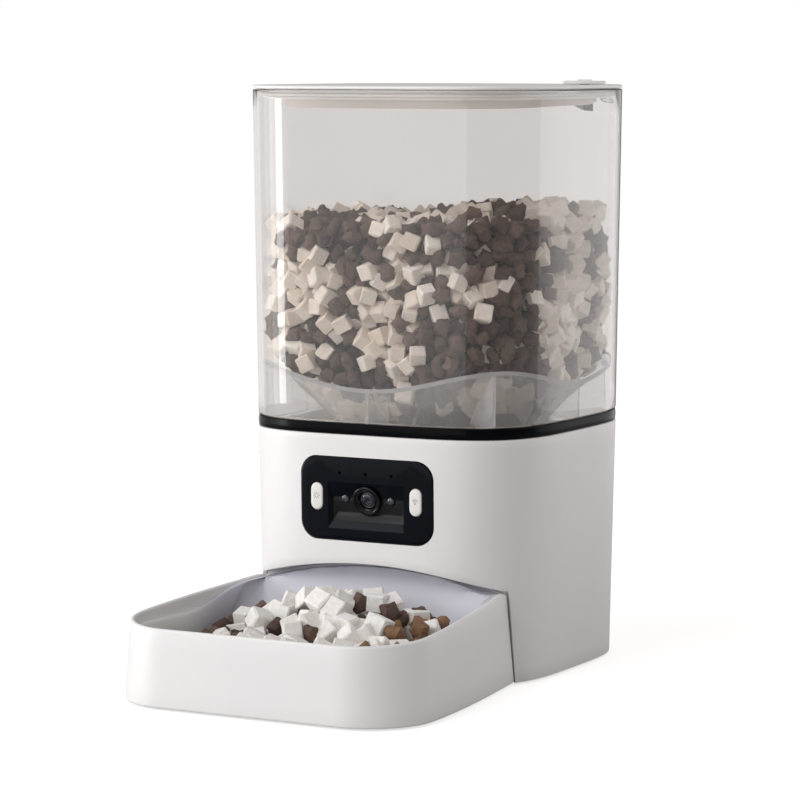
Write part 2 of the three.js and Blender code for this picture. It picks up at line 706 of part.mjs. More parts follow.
// dispenser
add("rotor_chamber", rotorChamber(), whiteShell);
add("chute", chute(), whiteShell);
add("rotor", rotor(), rotorGreen);
add("stirrer", stirrer(), softGrey);
add("drive_shaft", post(SHAFT_RADIUS, 89, 129.6, 0, 0, 16), steel);
add("output_gear", gear(TEETH.output, Math.PI / 2, SHAFT_RADIUS + GAP, 98.2, 103.8), nylon);
add("idler_gear", idlerGear(), nylon);
add("idler_axle", post(1.5, 88.3, 106, IDLER.x, IDLER.y, 12), steel);
add("motor_pinion", motorPinion(), steel);
add("motor", motor(), steel);
add("gearbox_case", gearboxCase(), blackSatin);
add("gearbox_lid", gearboxLid(), blackSatin);

// electronics
add("control_board", controlBoard(), boardGreen);
add("speaker", speaker(), blackSatin);
add("power_jack", powerJack(), blackSatin);

// camera panel
add("camera_panel", cameraPanel(), blackGloss);
add("camera_hood", cameraHood(), blackSatin);
add("lens_ring", lensRing(), blackGloss, cameraGroup);
add("camera_lens", cameraLens(), glassLens, cameraGroup);
add("infrared_lamp_left", infraredLamp(-IR_X), glassLens, cameraGroup);
add("infrared_lamp_right", infraredLamp(IR_X), glassLens, cameraGroup);
add("camera_board", cameraBoard(), boardGreen, cameraGroup);
add("panel_board", panelBoard(), boardGreen);
add("microphone", rod(2.2, -83.8, -79.5, -PINHOLE.x, PINHOLE.z, 14), steel);
add("light_sensor", rod(1.8, -83.8, -79.5, 0, PINHOLE.z, 12), glassLens);
add("status_lamp", rod(1.5, -83.8, -79.5, PINHOLE.x, PINHOLE.z, 12), buttonWhite);
add("feed_button", panelButton(-BUTTON.x), buttonWhite);
add("link_button", panelButton(BUTTON.x), buttonWhite);

// tank and lid
add("tank_shell", tankShell(), clearTank);
add("funnel", funnel(), clearTank);
add("lid_cover", lidCover(), whiteShell);
add("lid_skirt", lidSkirt(), whiteShell);
add("lid_seal", lidSeal(), softGrey);
add("lid_liner", lidLiner(), whiteShell);
add("lid_knob", lidKnob(), whiteShell);
add("lid_cam", lidCam(), blackSatin);

// tray
add("tray_shell", trayShell(), whiteShell);
add("tray_basin", trayBasin(), whiteShell);
[-1, 1].forEach((s, i) => {
  const pad = foot(s * 58, -192, 6);
  add(`tray_foot_${i + 1}`, pad.scale(1, 1, 0.5), rubber);
});

export default feeder;
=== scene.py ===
"""Looks of an automatic pet feeder: clear food tank, white base with a camera panel, pull-out tray."""

import json
import math

import bmesh
import bpy
import numpy as np
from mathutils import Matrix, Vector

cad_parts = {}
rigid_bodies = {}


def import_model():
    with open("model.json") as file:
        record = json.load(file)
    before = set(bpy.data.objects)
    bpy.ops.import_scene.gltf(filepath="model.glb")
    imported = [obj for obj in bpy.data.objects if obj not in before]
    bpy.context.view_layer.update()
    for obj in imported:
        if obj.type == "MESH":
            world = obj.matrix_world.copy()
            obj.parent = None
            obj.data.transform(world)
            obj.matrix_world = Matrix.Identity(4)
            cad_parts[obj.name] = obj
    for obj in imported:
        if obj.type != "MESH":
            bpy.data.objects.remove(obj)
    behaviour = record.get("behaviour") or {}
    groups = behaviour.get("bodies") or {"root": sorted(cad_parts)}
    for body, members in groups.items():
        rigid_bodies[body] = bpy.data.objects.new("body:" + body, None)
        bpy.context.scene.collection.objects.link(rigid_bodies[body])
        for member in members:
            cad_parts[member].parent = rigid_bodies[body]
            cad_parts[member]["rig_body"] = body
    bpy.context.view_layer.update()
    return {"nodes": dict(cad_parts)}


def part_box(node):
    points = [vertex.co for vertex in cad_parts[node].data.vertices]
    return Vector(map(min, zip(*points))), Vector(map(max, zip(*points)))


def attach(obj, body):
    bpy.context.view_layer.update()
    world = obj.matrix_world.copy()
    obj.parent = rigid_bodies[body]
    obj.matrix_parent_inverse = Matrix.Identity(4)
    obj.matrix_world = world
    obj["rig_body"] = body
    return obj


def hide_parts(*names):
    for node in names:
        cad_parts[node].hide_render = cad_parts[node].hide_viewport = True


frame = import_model()

# ------------------------------------------------------------------ shared helpers

MM = 0.001
scene = bpy.context.scene
scene.view_settings.view_transform = "Standard"


def linked(name, data):
    """A new object of this data, placed in the scene."""
    item = bpy.data.objects.new(name, data)
    scene.collection.objects.link(item)
    return item


def set_up(shader, **values):
    """Sets a shader's own sockets, with an underscore for each space in their names."""
    for key, value in values.items():
        shader.inputs[key.replace("_", " ")].default_value = value


def node(tree, kind, links=(), **values):
    """Adds a node, sets its properties or inputs by name, and links each (input, output socket) given."""
    added = tree.nodes.new("ShaderNode" + kind)
    for key, value in values.items():
        if hasattr(added, key):
            setattr(added, key, value)
        else:
            set_up(added, **{key: value})
    for key, socket in links:
        tree.links.new(socket, added.inputs[key])
    return added


def new_material(name):
    """A new material, its node tree and its Principled shader."""
    material = bpy.data.materials.new(name)
    material.use_nodes = True
    return material, material.node_tree, material.node_tree.nodes["Principled BSDF"]


# ------------------------------------------------------------------ camera, light and floor
# Angles in degrees. A softbox spans two azimuths, 0 in front and + to the right, and two heights in metres.

CAMERA_PLACE = (0.9001, -1.6492, 0.3483)
CAMERA_DOWN, CAMERA_TURN, LENS_LENGTH, FILM_WIDTH = 5.844, 28.373, 150.95, 36.0
ROOM_LIGHT, WINDOW_LIGHT, FLOOR_GLOW = 0.33, 0.93, 0.68
BOX_DISTANCE, BOX_MIDDLE_Y = 0.95, 0.06
LOW, HIGH = (0.0, 0.37), (0.37, 0.95)
SOFTBOXES = [
    ("front_panel", (-48, 14), LOW, 1.32),
    ("front_panel_top", (-60, 10), HIGH, 0.7),
    ("left_strip", (-61, -53), LOW, 10.5),
    ("left_glow", (-70, -61), LOW, 4.0, (1.0, 0.985, 0.975)),
    ("left_strip_edge", (-53, -48), LOW, 2.0),
    ("left_near_panel", (-80, -70), LOW, 1.9, (1.0, 0.98, 0.97)),
    ("left_mid_panel", (-100, -80), LOW, 0.9, (1.0, 0.97, 0.95)),
    ("left_far_panel", (-150, -100), LOW, 0.5, (1.0, 0.96, 0.93)),
    ("right_panel", (122, 157), LOW, 1.0),
    ("right_panel_top", (90, 150), HIGH, 1.3, (1.0, 0.985, 0.97)),
    ("right_edge_strip", (157, 182), LOW, 0.85, (1.0, 0.98, 0.97)),
]


def studio_camera():
    """A long lens a little above the lid, to the right of the front."""
    lens = bpy.data.cameras.new("studio_camera")
    lens.lens = LENS_LENGTH
    lens.sensor_width = FILM_WIDTH
    lens.clip_end = 100
    camera = linked("studio_camera", lens)
    camera.location = CAMERA_PLACE
    camera.rotation_euler = (math.radians(90 - CAMERA_DOWN), 0, math.radians(CAMERA_TURN))
    scene.camera = camera


def softbox(name, azimuths, heights, radiance, tint=(1.0, 1.0, 1.0)):
    """An upright light panel that spans two azimuths and two heights, facing the feeder."""
    turn = math.radians(sum(azimuths) / 2)
    width = 2 * BOX_DISTANCE * math.tan(math.radians(abs(azimuths[1] - azimuths[0]) / 2))
    tall = heights[1] - heights[0]
    light = bpy.data.lights.new(name, "AREA")
    light.shape = "RECTANGLE"
    light.size, light.size_y = width, tall
    light.energy = radiance * math.pi * width * tall
    light.color = tint
    lamp = linked(name, light)
    across, along = BOX_DISTANCE * math.sin(turn), BOX_DISTANCE * math.cos(turn)
    lamp.location = (across, BOX_MIDDLE_Y - along, sum(heights) / 2)
    lamp.rotation_euler = (math.pi / 2, 0, turn)
    lamp.visible_camera = False
    lamp.visible_transmission = False


def seen_directly(tree):
    """One for rays that come from the camera or pass through clear plastic, else nothing."""
    path = node(tree, "LightPath").outputs
    links = [(0, path["Is Camera Ray"]), (1, path["Is Transmission Ray"])]
    return node(tree, "Math", links, operation="MAXIMUM").outputs[0]


def studio():
    """A white backdrop with a dimmer room light, a soft window light, the softboxes and the floor."""
    world = bpy.data.worlds.new("white_room")
    world.use_nodes = True
    scene.world = world
    tree = world.node_tree
    room = tree.nodes["Background"]
    set_up(room, Color=(1, 0.985, 0.975, 1), Strength=ROOM_LIGHT)
    white = node(tree, "Background", Color=(1, 1, 1, 1))
    mix = node(tree, "MixShader", [(0, seen_directly(tree)), (1, room.outputs[0]), (2, white.outputs[0])])
    tree.links.new(mix.outputs[0], tree.nodes["World Output"].inputs["Surface"])
    sun = bpy.data.lights.new("window_light", "SUN")
    sun.energy = WINDOW_LIGHT
    sun.angle = math.radians(40)
    linked("window_light", sun).rotation_euler = (math.radians(42), 0, math.radians(-32))
    for row in SOFTBOXES:
        softbox(*row)
    bpy.ops.mesh.primitive_plane_add(size=60)
    floor = bpy.context.object
    floor.name = "pale_floor"
    paint, tree, shader = new_material("pale_floor")
    set_up(shader, Base_Color=(0.62, 0.615, 0.61, 1), Roughness=0.9, Specular_IOR_Level=0.0)
    set_up(shader, Emission_Color=(1, 1, 1, 1))
    lift = node(tree, "Math", [(0, seen_directly(tree))], operation="MULTIPLY")
    lift.inputs[1].default_value = FLOOR_GLOW
    tree.links.new(lift.outputs[0], shader.inputs["Emission Strength"])
    floor.data.materials.append(paint)


studio_camera()
studio()

# ------------------------------------------------------------------ the body's measures, in millimetres
# Lengths below are from the middle of the base on the floor. The base stands BASE_Y behind the origin.

BASE_Y = (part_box("tank_shell")[0][1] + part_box("tank_shell")[1][1]) / 2
HALF_WIDTH, HALF_DEPTH, SQUARENESS = 91.2, 88.1, 3.84
SEAM_Z, BAND_TOP_Z, RIM_Z = 138.0, 144.5, 330.0
FLOOR_SCALE, RIM_SCALE = 0.9713, 1.0255
WALL, CLEAR_Z = 2.5, 1.2
ARCH_MIDDLE_Z, ARCH_RADIUS = 65.4, 256.0
JOINT_GAP, JOINT_TOP_Z, JOINT_SOFT = 0.3, 54.0, 0.9
INLET_X, INLET_Z, INLET_SIZE = 35, 20, 9.2
SPEAKER_X, SPEAKER_Z, SPEAKER_STEP = -30, 68, 6
FEET = [
    ("foot_pad_%d", "foot_%d", "base", 7.0, 1.7, [(-60, -44), (60, -44), (-58, 64), (58, 64)]),
    ("tray_pad_%d", "tray_foot_%d", "tray", 6.0, 0.85, [(-58, -192), (58, -192)]),
]

TRAY_FRONT, TRAY_REAR, TRAY_LEAN = -219.4, -62.2, 0.094
TRAY_HALF_WIDTH, TRAY_REAR_HALF_WIDTH, TRAY_CORNER = 92.6, 80.4, 38.0
TRAY_DRAFT, TRAY_CENTRE, TRAY_FLOOR_Z = 0.000625, -130.0, 3.8
RIM_FRONT_Z, RIM_REAR_Z = 44.0, 53.4
BOWL_LIP_Z, BOWL_FLOOR_Z, BOWL_UNDER_ARCH, BOWL_PLAN_Z = 40.0, 7.0, 3.2, 20.0

PANEL_Z, PANEL_WIDTH, PANEL_HEIGHT, PANEL_CORNER, PANEL_PROUD = 101.7, 84.0, 47.0, 10.8, 0.4
KEY_X, KEY_Z, KEY_WIDTH, KEY_HEIGHT, KEY_FACE_Y, FIT_GAP = 31.4, 102.3, 7.6, 15.5, -87.9, 0.6
HOOD_TOP, HOOD_STEP, HOOD_BOTTOM, HOOD_DEPTH = 111.0, 93.5, 84.0, 5.5
HOOD_HALF, HOOD_LOW_HALF = 24.5, 20.5
LENS_Z, LAMP_X = 101.5, 14.5
HOLE_X, HOLE_Z = 16.5, 116.3
KNOB, KNOB_TURN, LUG_TURN = np.array([66.0, 56.0]), math.radians(132), math.radians(42)

FUNNEL_SLOPE, FUNNEL_RADIUS, FUNNEL_Z = 0.69, 85.4, 164.0
NECK_RADIUS, NECK_WALL, NECK_Z, CONE_DROP, RIB_Z, RIB_RADIUS = 48.0, 2.0, 134.2, 2.4, 145.3, 62.0


def draft(z):
    """Size of the plan at height z: grows from floor to seam, stays over the band, grows to the rim."""
    z = np.asarray(z, float)
    base = FLOOR_SCALE + (1 - FLOOR_SCALE) * z / SEAM_Z
    tank = 1 + (RIM_SCALE - 1) * (z - BAND_TOP_Z) / (RIM_Z - BAND_TOP_Z)
    return np.where(z < SEAM_Z, base, np.where(z < BAND_TOP_Z, 1.0, tank))


def body_radius(turn, inset=0.0):
    """Polar radius of a superellipse: one over the n-th root of |cos/a|^n + |sin/b|^n."""
    across = np.abs(np.cos(turn)) / (HALF_WIDTH - inset)
    along = np.abs(np.sin(turn)) / (HALF_DEPTH - inset)
    return (across**SQUARENESS + along**SQUARENESS) ** (-1 / SQUARENESS)


def front_y(x, z):
    """Y of the body's front face at x and z: the superellipse solved for y."""
    size = draft(z)
    share = np.clip(1 - (np.abs(x) / (HALF_WIDTH * size)) ** SQUARENESS, 0, 1)
    return -HALF_DEPTH * size * share ** (1 / SQUARENESS)


def even_turns(count):
    """Angles that step evenly along the body's outline, with extra ones where the tray's joint climbs it."""
    fine = np.linspace(0, 2 * np.pi, 20001)
    radius = body_radius(fine)
    x, y = radius * np.cos(fine), radius * np.sin(fine)
    length = np.concatenate([[0], np.cumsum(np.hypot(np.diff(x), np.diff(y)))])
    turns = np.interp(np.linspace(0, length[-1], count, endpoint=False), length, fine)
    climbs = fine[(y > -70.5) & (y < -61.5)]
    return np.unique(np.concatenate([turns, climbs[::12]]))


TURNS = even_turns(232)


def arch_z(x):
    """Lower edge of the base's front over the tray: a shallow parabola, highest in the middle."""
    return ARCH_MIDDLE_Z - np.asarray(x) ** 2 / (2 * ARCH_RADIUS)


def cone_z(radius):
    """Height of the cone's inner face, which rises with the radius at a fixed slope."""
    return FUNNEL_Z + FUNNEL_SLOPE * (radius - FUNNEL_RADIUS)


# ------------------------------------------------------------------ mesh work


def xyz(x, y, z):
    """Points from three coordinates, each an array or a single number."""
    return np.stack(np.broadcast_arrays(np.asarray(x, float), y, z), -1)


def around(radius, turn, z, at=(0, 0)):
    """Points at a radius and an angle about an upright axis."""
    return xyz(at[0] + radius * np.cos(turn), at[1] + radius * np.sin(turn), z)


def level(outline, z):
    """A ring from an outline of (x, y), all at one height."""
    return xyz(*np.asarray(outline, float).T, z)


def read(items, key, width=3, kind=np.float32):
    """A row of numbers for each item of a mesh."""
    values = np.zeros(len(items) * width, kind)
    items.foreach_get(key, values)
    return values.reshape(-1, width)


def made(name, points, faces, look, body, nodes=(), slot=None, sharp=38):
    """An object from points in millimetres and faces of three or four corners, turned to face outwards."""
    points = np.asarray(points, float) * MM + [0, BASE_Y, 0]
    corners = np.concatenate([f.ravel() for f in faces]).astype(np.int32)
    sizes = np.concatenate([np.full(len(f), f.shape[1]) for f in faces])
    starts = np.concatenate([[0], np.cumsum(sizes)[:-1]]).astype(np.int32)
    mesh = bpy.data.meshes.new(name)
    mesh.vertices.add(len(points))
    mesh.vertices.foreach_set("co", points.astype(np.float32).ravel())
    mesh.loops.add(len(corners))
    mesh.loops.foreach_set("vertex_index", corners)
    mesh.polygons.add(len(sizes))
    mesh.polygons.foreach_set("loop_start", starts)
    mesh.update(calc_edges=True)
    mesh.validate()
    if signed_volume(mesh) < 0:
        mesh.flip_normals()
    piece = linked(name, mesh)
    if look is not None:
        mesh.materials.append(look)
    smoothed(mesh, sharp)
    if body:
        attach(piece, body)
    if nodes:
        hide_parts(*nodes)
    return piece


def solid(name, rings, *rest):
    """A piece over rings whose two ends are closed, with what made() takes after the faces."""
    return made(name, *skin(rings, "poles"), *rest)


def signed_volume(mesh):
    """Sum of the tetrahedra from the origin to each triangle of the mesh."""
    mesh.calc_loop_triangles()
    corners = read(mesh.loop_triangles, "vertices", 3, np.int32)
    a, b, c = read(mesh.vertices, "co")[corners].transpose(1, 0, 2).astype(float)
    return float(np.einsum("ij,ij->i", a, np.cross(b, c)).sum())


def smoothed(mesh, sharp):
    """Smooth shading with hard edges past an angle in degrees."""
    mesh.polygons.foreach_set("use_smooth", np.ones(len(mesh.polygons), bool))
    mesh.set_sharp_from_angle(angle=math.radians(sharp))


def skin(rings, ends="loop"):
    """Faces over rings[m, n, 3] of points. Ends "loop" joins the last ring to the first, "poles" closes each
    end on its ring's middle point."""
    rings = np.asarray(rings, float)
    m, n, _ = rings.shape
    index = np.arange(m * n).reshape(m, n)
    lower = index if ends == "loop" else index[:-1]
    upper = np.roll(index, -1, 0) if ends == "loop" else index[1:]
    quads = np.stack([lower, np.roll(lower, -1, 1), np.roll(upper, -1, 1), upper], -1).reshape(-1, 4)
    points = rings.reshape(-1, 3)
    if ends == "loop":
        return points, [quads]
    first, last = m * n, m * n + 1
    points = np.concatenate([points, rings[:1].mean(1), rings[-1:].mean(1)])
    bottom = np.stack([np.full(n, first), np.roll(index[0], -1), index[0]], -1)
    top = np.stack([np.full(n, last), index[-1], np.roll(index[-1], -1)], -1)
    return points, [quads, bottom, top]


def body_rings(profile):
    """Rings round the body: each row of the profile is (inset, z), z being one height or one per column."""
    inset = np.array([row[0] for row in profile], float)[:, None]
    z = np.stack([np.broadcast_to(row[1], TURNS.shape) for row in profile])
    return around(body_radius(TURNS[None, :], inset) * draft(z), TURNS, z)


def rounded(corners, radius):
    """A closed profile of (inset, z) with each corner turned into an arc of about this radius: a quadratic
    curve between points set back along both sides."""
    corners = [np.array(c, float) for c in corners]
    radii = np.broadcast_to(radius, len(corners))
    profile = []
    for i, corner in enumerate(corners):
        ends = []
        for other in (corners[i - 1], corners[(i + 1) % len(corners)]):
            length = np.linalg.norm(other - corner)
            ends.append(corner + (other - corner) / length * min(radii[i], length * 0.48))
        for t in np.linspace(0, 1, 5):
            profile.append((1 - t) ** 2 * ends[0] + 2 * t * (1 - t) * corner + t**2 * ends[1])
    return profile


def with_levels(profile, count):
    """The profile with extra levels along its long upright stretches."""
    out = []
    for i, point in enumerate(profile):
        rise = profile[(i + 1) % len(profile)] - point
        out.append(point)
        if abs(rise[1]) > 20:
            out += [point + rise * k / count for k in range(1, count)]
    return out


def ring_piece(name, corners, radius, look, body, node_name, slot, levels=4):
    """A closed wall round the body from a profile whose corners are rounded."""
    profile = with_levels(rounded(corners, radius), levels)
    return made(name, *skin(body_rings(profile)), look, body, [node_name], slot)


def turned(profile, sides=64, at=(0, 0)):
    """Rings of a solid of revolution, from a profile of (radius, z)."""
    profile = np.array(profile, float)
    return around(profile[:, :1], np.linspace(0, 2 * np.pi, sides, endpoint=False), profile[:, 1:], at)


def stadium(width, height, corner, count=12):
    """Rounded rectangle as points (x, z) about its middle, with even steps in each corner."""
    w, h = width / 2 - corner, height / 2 - corner
    turn = np.linspace(0, np.pi / 2, count)
    parts = [
        np.stack([sx + corner * np.cos(turn + k), sz + corner * np.sin(turn + k)], -1)
        for sx, sz, k in [(w, h, 0), (-w, h, np.pi / 2), (-w, -h, np.pi), (w, -h, 1.5 * np.pi)]
    ]
    return np.concatenate(parts)


def plate_rings(outline, centre, front, back, edge):
    """Rings of a plate that follows the body's front: the outline shrinks towards its middle on both faces,
    and its edge is a quarter circle of radius edge. front and back are distances out of the body's face."""
    reach = np.hypot(*outline.T)[:, None]
    shares = (0.3, 0.55, 0.75, 0.9)
    rows = [(share, 0, back) for share in (*shares, 1.0)]
    rows += [
        (1.0, edge * (1 - np.cos(a)), front - edge * (1 - np.sin(a)))
        for a in np.linspace(0, np.pi / 2, 5)
    ]
    rows += [(share, edge, front) for share in shares[::-1]]
    rings = []
    for share, inset, out in rows:
        x, z = (outline * share * (1 - inset / reach) + centre).T
        rings.append(xyz(x, front_y(x, z) - out, z))
    return rings


def prism(outline, y0, y1):
    """A cutter: an outline of (x, z) carried along Y from y0 to y1."""
    x, z = outline.T
    return solid("cutter", [xyz(x, y, z) for y in (y0, y1)], None, None)


def hull(points):
    """A cutter: the convex hull of a few points."""
    shape = bmesh.new()
    for point in np.array(points) * MM + [0, BASE_Y, 0]:
        shape.verts.new(point)
    bmesh.ops.convex_hull(shape, input=shape.verts)
    mesh = bpy.data.meshes.new("cutter")
    shape.to_mesh(mesh)
    shape.free()
    return linked("cutter", mesh)


def cut(piece, cutters, sharp=38):
    """Takes the cutters out of the piece and makes the result its mesh."""
    for cutter in cutters:
        step = piece.modifiers.new("cut", "BOOLEAN")
        step.operation = "DIFFERENCE"
        step.solver = "EXACT"
        step.object = cutter
    bpy.context.view_layer.update()
    finished = piece.evaluated_get(bpy.context.evaluated_depsgraph_get())
    mesh = bpy.data.meshes.new_from_object(finished)
    piece.modifiers.clear()
    piece.data = mesh
    smoothed(mesh, sharp)
    for cutter in cutters:
        bpy.data.objects.remove(cutter)
    return piece


def bevelled(piece, width):
    """Rounds the piece's hard edges."""
    step = piece.modifiers.new("soft_edges", "BEVEL")
    step.width = width * MM
    step.segments = 2
    step.limit_method = "ANGLE"
    step.angle_limit = math.radians(35)
    step.harden_normals = True


def softened(name, look, width):
    """A finished copy of a CAD node: its triangles merged into flat faces, hard edges rounded."""
    source = frame["nodes"][name]
    shape = bmesh.new()
    shape.from_mesh(source.data)
    bmesh.ops.remove_doubles(shape, verts=shape.verts, dist=2e-6)
    bmesh.ops.dissolve_limit(shape, angle_limit=math.radians(0.8), verts=shape.verts, edges=shape.edges)
    mesh = bpy.data.meshes.new(name + "_finish")
    shape.to_mesh(mesh)
    shape.free()
    mesh.materials.clear()
    mesh.materials.append(look)
    smoothed(mesh, 38)
    piece = linked(name + "_finish", mesh)
    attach(piece, source["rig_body"])
    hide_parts(name)
    bevelled(piece, width)


def second_finish(piece, look, chosen):
    """Gives a second finish to the faces that chosen(centres, normals) picks, in millimetres."""
    mesh = piece.data
    centres = read(mesh.polygons, "center") / MM - [0, BASE_Y / MM, 0]
    picked = chosen(centres, read(mesh.polygons, "normal"))
    mesh.materials.append(look)
    mesh.polygons.foreach_set("material_index", picked.astype(np.int32))


# ------------------------------------------------------------------ finishes


def effect(name, inputs, output, kind="NodeSocketFloat"):
    """An empty shader node group with named inputs and one output. Returns it with its two end nodes."""
    group = bpy.data.node_groups.new(name, "ShaderNodeTree")
    for label, value in inputs.items():
        taken = "NodeSocketColor" if isinstance(value, tuple) else "NodeSocketFloat"
        socket = group.interface.new_socket(label, in_out="INPUT", socket_type=taken)
        socket.default_value = value
    group.interface.new_socket(output, in_out="OUTPUT", socket_type=kind)
    return group, group.nodes.new("NodeGroupInput"), group.nodes.new("NodeGroupOutput")


def object_noise(tree, links=(), **values):
    """Noise laid over the piece in the object's own coordinates."""
    place = node(tree, "TexCoord").outputs["Object"]
    return node(tree, "TexNoise", [("Vector", place), *links], **values).outputs["Fac"]


def moulded_grain():
    """Fine grain of a moulded surface, as a height."""
    group, start, end = effect("moulded_grain", {"Size": 900.0}, "Height")
    fine = object_noise(group, [("Scale", start.outputs["Size"])], Detail=3.0)
    group.links.new(fine, end.inputs["Height"])
    return group


def handled_gloss():
    """Roughness that drifts between two values in smudges: a distorted noise, spread between its limits."""
    group, start, end = effect("handled_gloss", {"Low": 0.1, "High": 0.2, "Size": 30.0}, "Roughness")
    smudge = object_noise(group, [("Scale", start.outputs["Size"])], Detail=6.0, Distortion=0.8)
    links = [("Value", smudge), ("To Min", start.outputs["Low"]), ("To Max", start.outputs["High"])]
    spread = node(group, "MapRange", links, From_Min=0.35, From_Max=0.7)
    group.links.new(spread.outputs["Result"], end.inputs["Roughness"])
    return group


def tone_drift():
    """A colour that drifts a little towards another in slow patches."""
    inputs = {"Colour": (0.8, 0.8, 0.8, 1.0), "Other": (0.7, 0.7, 0.7, 1.0), "Size": 14.0, "Share": 1.0}
    group, start, end = effect("tone_drift", inputs, "Colour", "NodeSocketColor")
    slow = object_noise(group, [("Scale", start.outputs["Size"])], Detail=4.0)
    span = node(group, "MapRange", [("Value", slow)], From_Min=0.3, From_Max=0.7)
    links = [(0, span.outputs["Result"]), (1, start.outputs["Share"])]
    share = node(group, "Math", links, operation="MULTIPLY")
    links = [(0, share.outputs[0]), (6, start.outputs["Colour"]), (7, start.outputs["Other"])]
    blend = node(group, "Mix", links, data_type="RGBA")
    group.links.new(blend.outputs[2], end.inputs["Colour"])
    return group


GRAIN, GLOSS, TONE = moulded_grain(), handled_gloss(), tone_drift()


def placed_group(tree, group, **values):
    """Puts a shared effect in a material with its own values, and returns its output."""
    used = tree.nodes.new("ShaderNodeGroup")
    used.node_tree = group
    set_up(used, **values)
    return used.outputs[0]


def finish(name, colour, other=None, rough=(0.3, 0.4), depth=0.02, grain=900.0, patch=22.0, share=0.6, **own):
    """A plastic, rubber or metal: drifting tone, handled gloss and a moulded grain in its normal."""
    material, tree, shader = new_material(name)
    other = other or [c * 0.94 for c in colour]
    tone = placed_group(tree, TONE, Colour=(*colour, 1.0), Other=(*other, 1.0), Size=patch, Share=share)
    tree.links.new(tone, shader.inputs["Base Color"])
    tree.links.new(placed_group(tree, GLOSS, Low=rough[0], High=rough[1]), shader.inputs["Roughness"])
    height = placed_group(tree, GRAIN, Size=grain)
    bump = node(tree, "Bump", [("Height", height)], Strength=0.35, Distance=depth * MM)
    tree.links.new(bump.outputs["Normal"], shader.inputs["Normal"])
    set_up(shader, **own)
    return material


def graded(material, colour, start, end):
    """Lets a finish turn into another colour from front to back, between two values of Y in metres."""
    tree = material.node_tree
    shader = tree.nodes["Principled BSDF"]
    tone = shader.inputs["Base Color"].links[0].from_socket
    place = tree.nodes.new("ShaderNodeTexCoord")
    parts = node(tree, "SeparateXYZ", [("Vector", place.outputs["Object"])])
    share = node(tree, "MapRange", [("Value", parts.outputs["Y"])], From_Min=start, From_Max=end)
    share.interpolation_type = "SMOOTHSTEP"
    blend = node(tree, "Mix", [(0, share.outputs["Result"]), (6, tone)], data_type="RGBA")
    blend.inputs[7].default_value = (*colour, 1.0)
    tree.links.new(blend.outputs[2], shader.inputs["Base Color"])


def clear_finish(name, colour, rough, ior, clear):
    """Clear moulded plastic: shadow rays pass straight through it, so what is inside stays lit."""
    material, tree, shader = new_material(name)
    set_up(shader, Transmission_Weight=clear, IOR=ior)
    other = [c * 0.985 for c in colour]
    tone = placed_group(tree, TONE, Colour=(*colour, 1.0), Other=(*other, 1.0), Size=9.0)
    tree.links.new(tone, shader.inputs["Base Color"])
    gloss = placed_group(tree, GLOSS, Low=rough[0], High=rough[1], Size=16.0)
    tree.links.new(gloss, shader.inputs["Roughness"])
    passing = node(tree, "BsdfTransparent", Color=(0.93, 0.93, 0.93, 1.0))
    shadow = node(tree, "LightPath").outputs["Is Shadow Ray"]
    mix = node(tree, "MixShader", [(0, shadow), (1, shader.outputs[0]), (2, passing.outputs[0])])
    tree.links.new(mix.outputs[0], tree.nodes["Material Output"].inputs["Surface"])
    return material


def baked_food(name, dark, light, pore, depth):
    """Dry food: each piece has its own tone from the mesh's "tone" attribute, over a porous, dusty crust."""
    material, tree, shader = new_material(name)
    own = node(tree, "Attribute", attribute_name="tone")
    base = node(tree, "Mix", [(0, own.outputs["Fac"])], data_type="RGBA")
    base.inputs[6].default_value = (*dark, 1.0)
    base.inputs[7].default_value = (*light, 1.0)
    crust = object_noise(tree, Scale=pore, Detail=6.0, Roughness=0.7)
    speck = node(tree, "MapRange", [("Value", crust)], From_Min=0.35, From_Max=0.75, To_Max=0.35)
    links = [(0, speck.outputs["Result"]), (6, base.outputs[2])]
    tint = node(tree, "Mix", links, data_type="RGBA", blend_type="MULTIPLY")
    tint.inputs[7].default_value = (0.55, 0.42, 0.30, 1.0)
    tree.links.new(tint.outputs[2], shader.inputs["Base Color"])
    place = node(tree, "TexCoord").outputs["Object"]
    pits = node(tree, "TexVoronoi", [("Vector", place)], Scale=pore * 1.6)
    height = node(tree, "Math", [(0, crust), (1, pits.outputs["Distance"])], operation="ADD")
    bump = node(tree, "Bump", [("Height", height.outputs[0])], Strength=0.8, Distance=depth * MM)
    tree.links.new(bump.outputs["Normal"], shader.inputs["Normal"])
    set_up(shader, Roughness=0.8, Specular_IOR_Level=0.3)
    return material


# Painted light: a brighter copy of the white shell plastic. It makes the lid's top read as lit, and it
# brightens the shaded deck and the band's inner face.
WHITE_PAINTED_LIGHT = finish("white_painted_light", (0.93, 0.92, 0.91), (0.90, 0.885, 0.87), rough=(0.34, 0.44), depth=0.015)
WHITE = finish("white_shell", (0.80, 0.79, 0.785), (0.77, 0.76, 0.755), (0.34, 0.44), 0.015, share=0.5)
TRAY_WHITE = finish("tray_white", (0.81, 0.80, 0.80), (0.78, 0.77, 0.775), (0.32, 0.42), 0.015, share=0.5)
INNER_WHITE = finish("inner_white", (0.74, 0.735, 0.73), rough=(0.45, 0.6), depth=0.03)
TANK = clear_finish("clear_tank", (0.785, 0.767, 0.757), (0.015, 0.05), ior=1.45, clear=1.0)
CONE = clear_finish("clear_cone", (0.95, 0.94, 0.93), (0.02, 0.08), ior=1.25, clear=0.82)
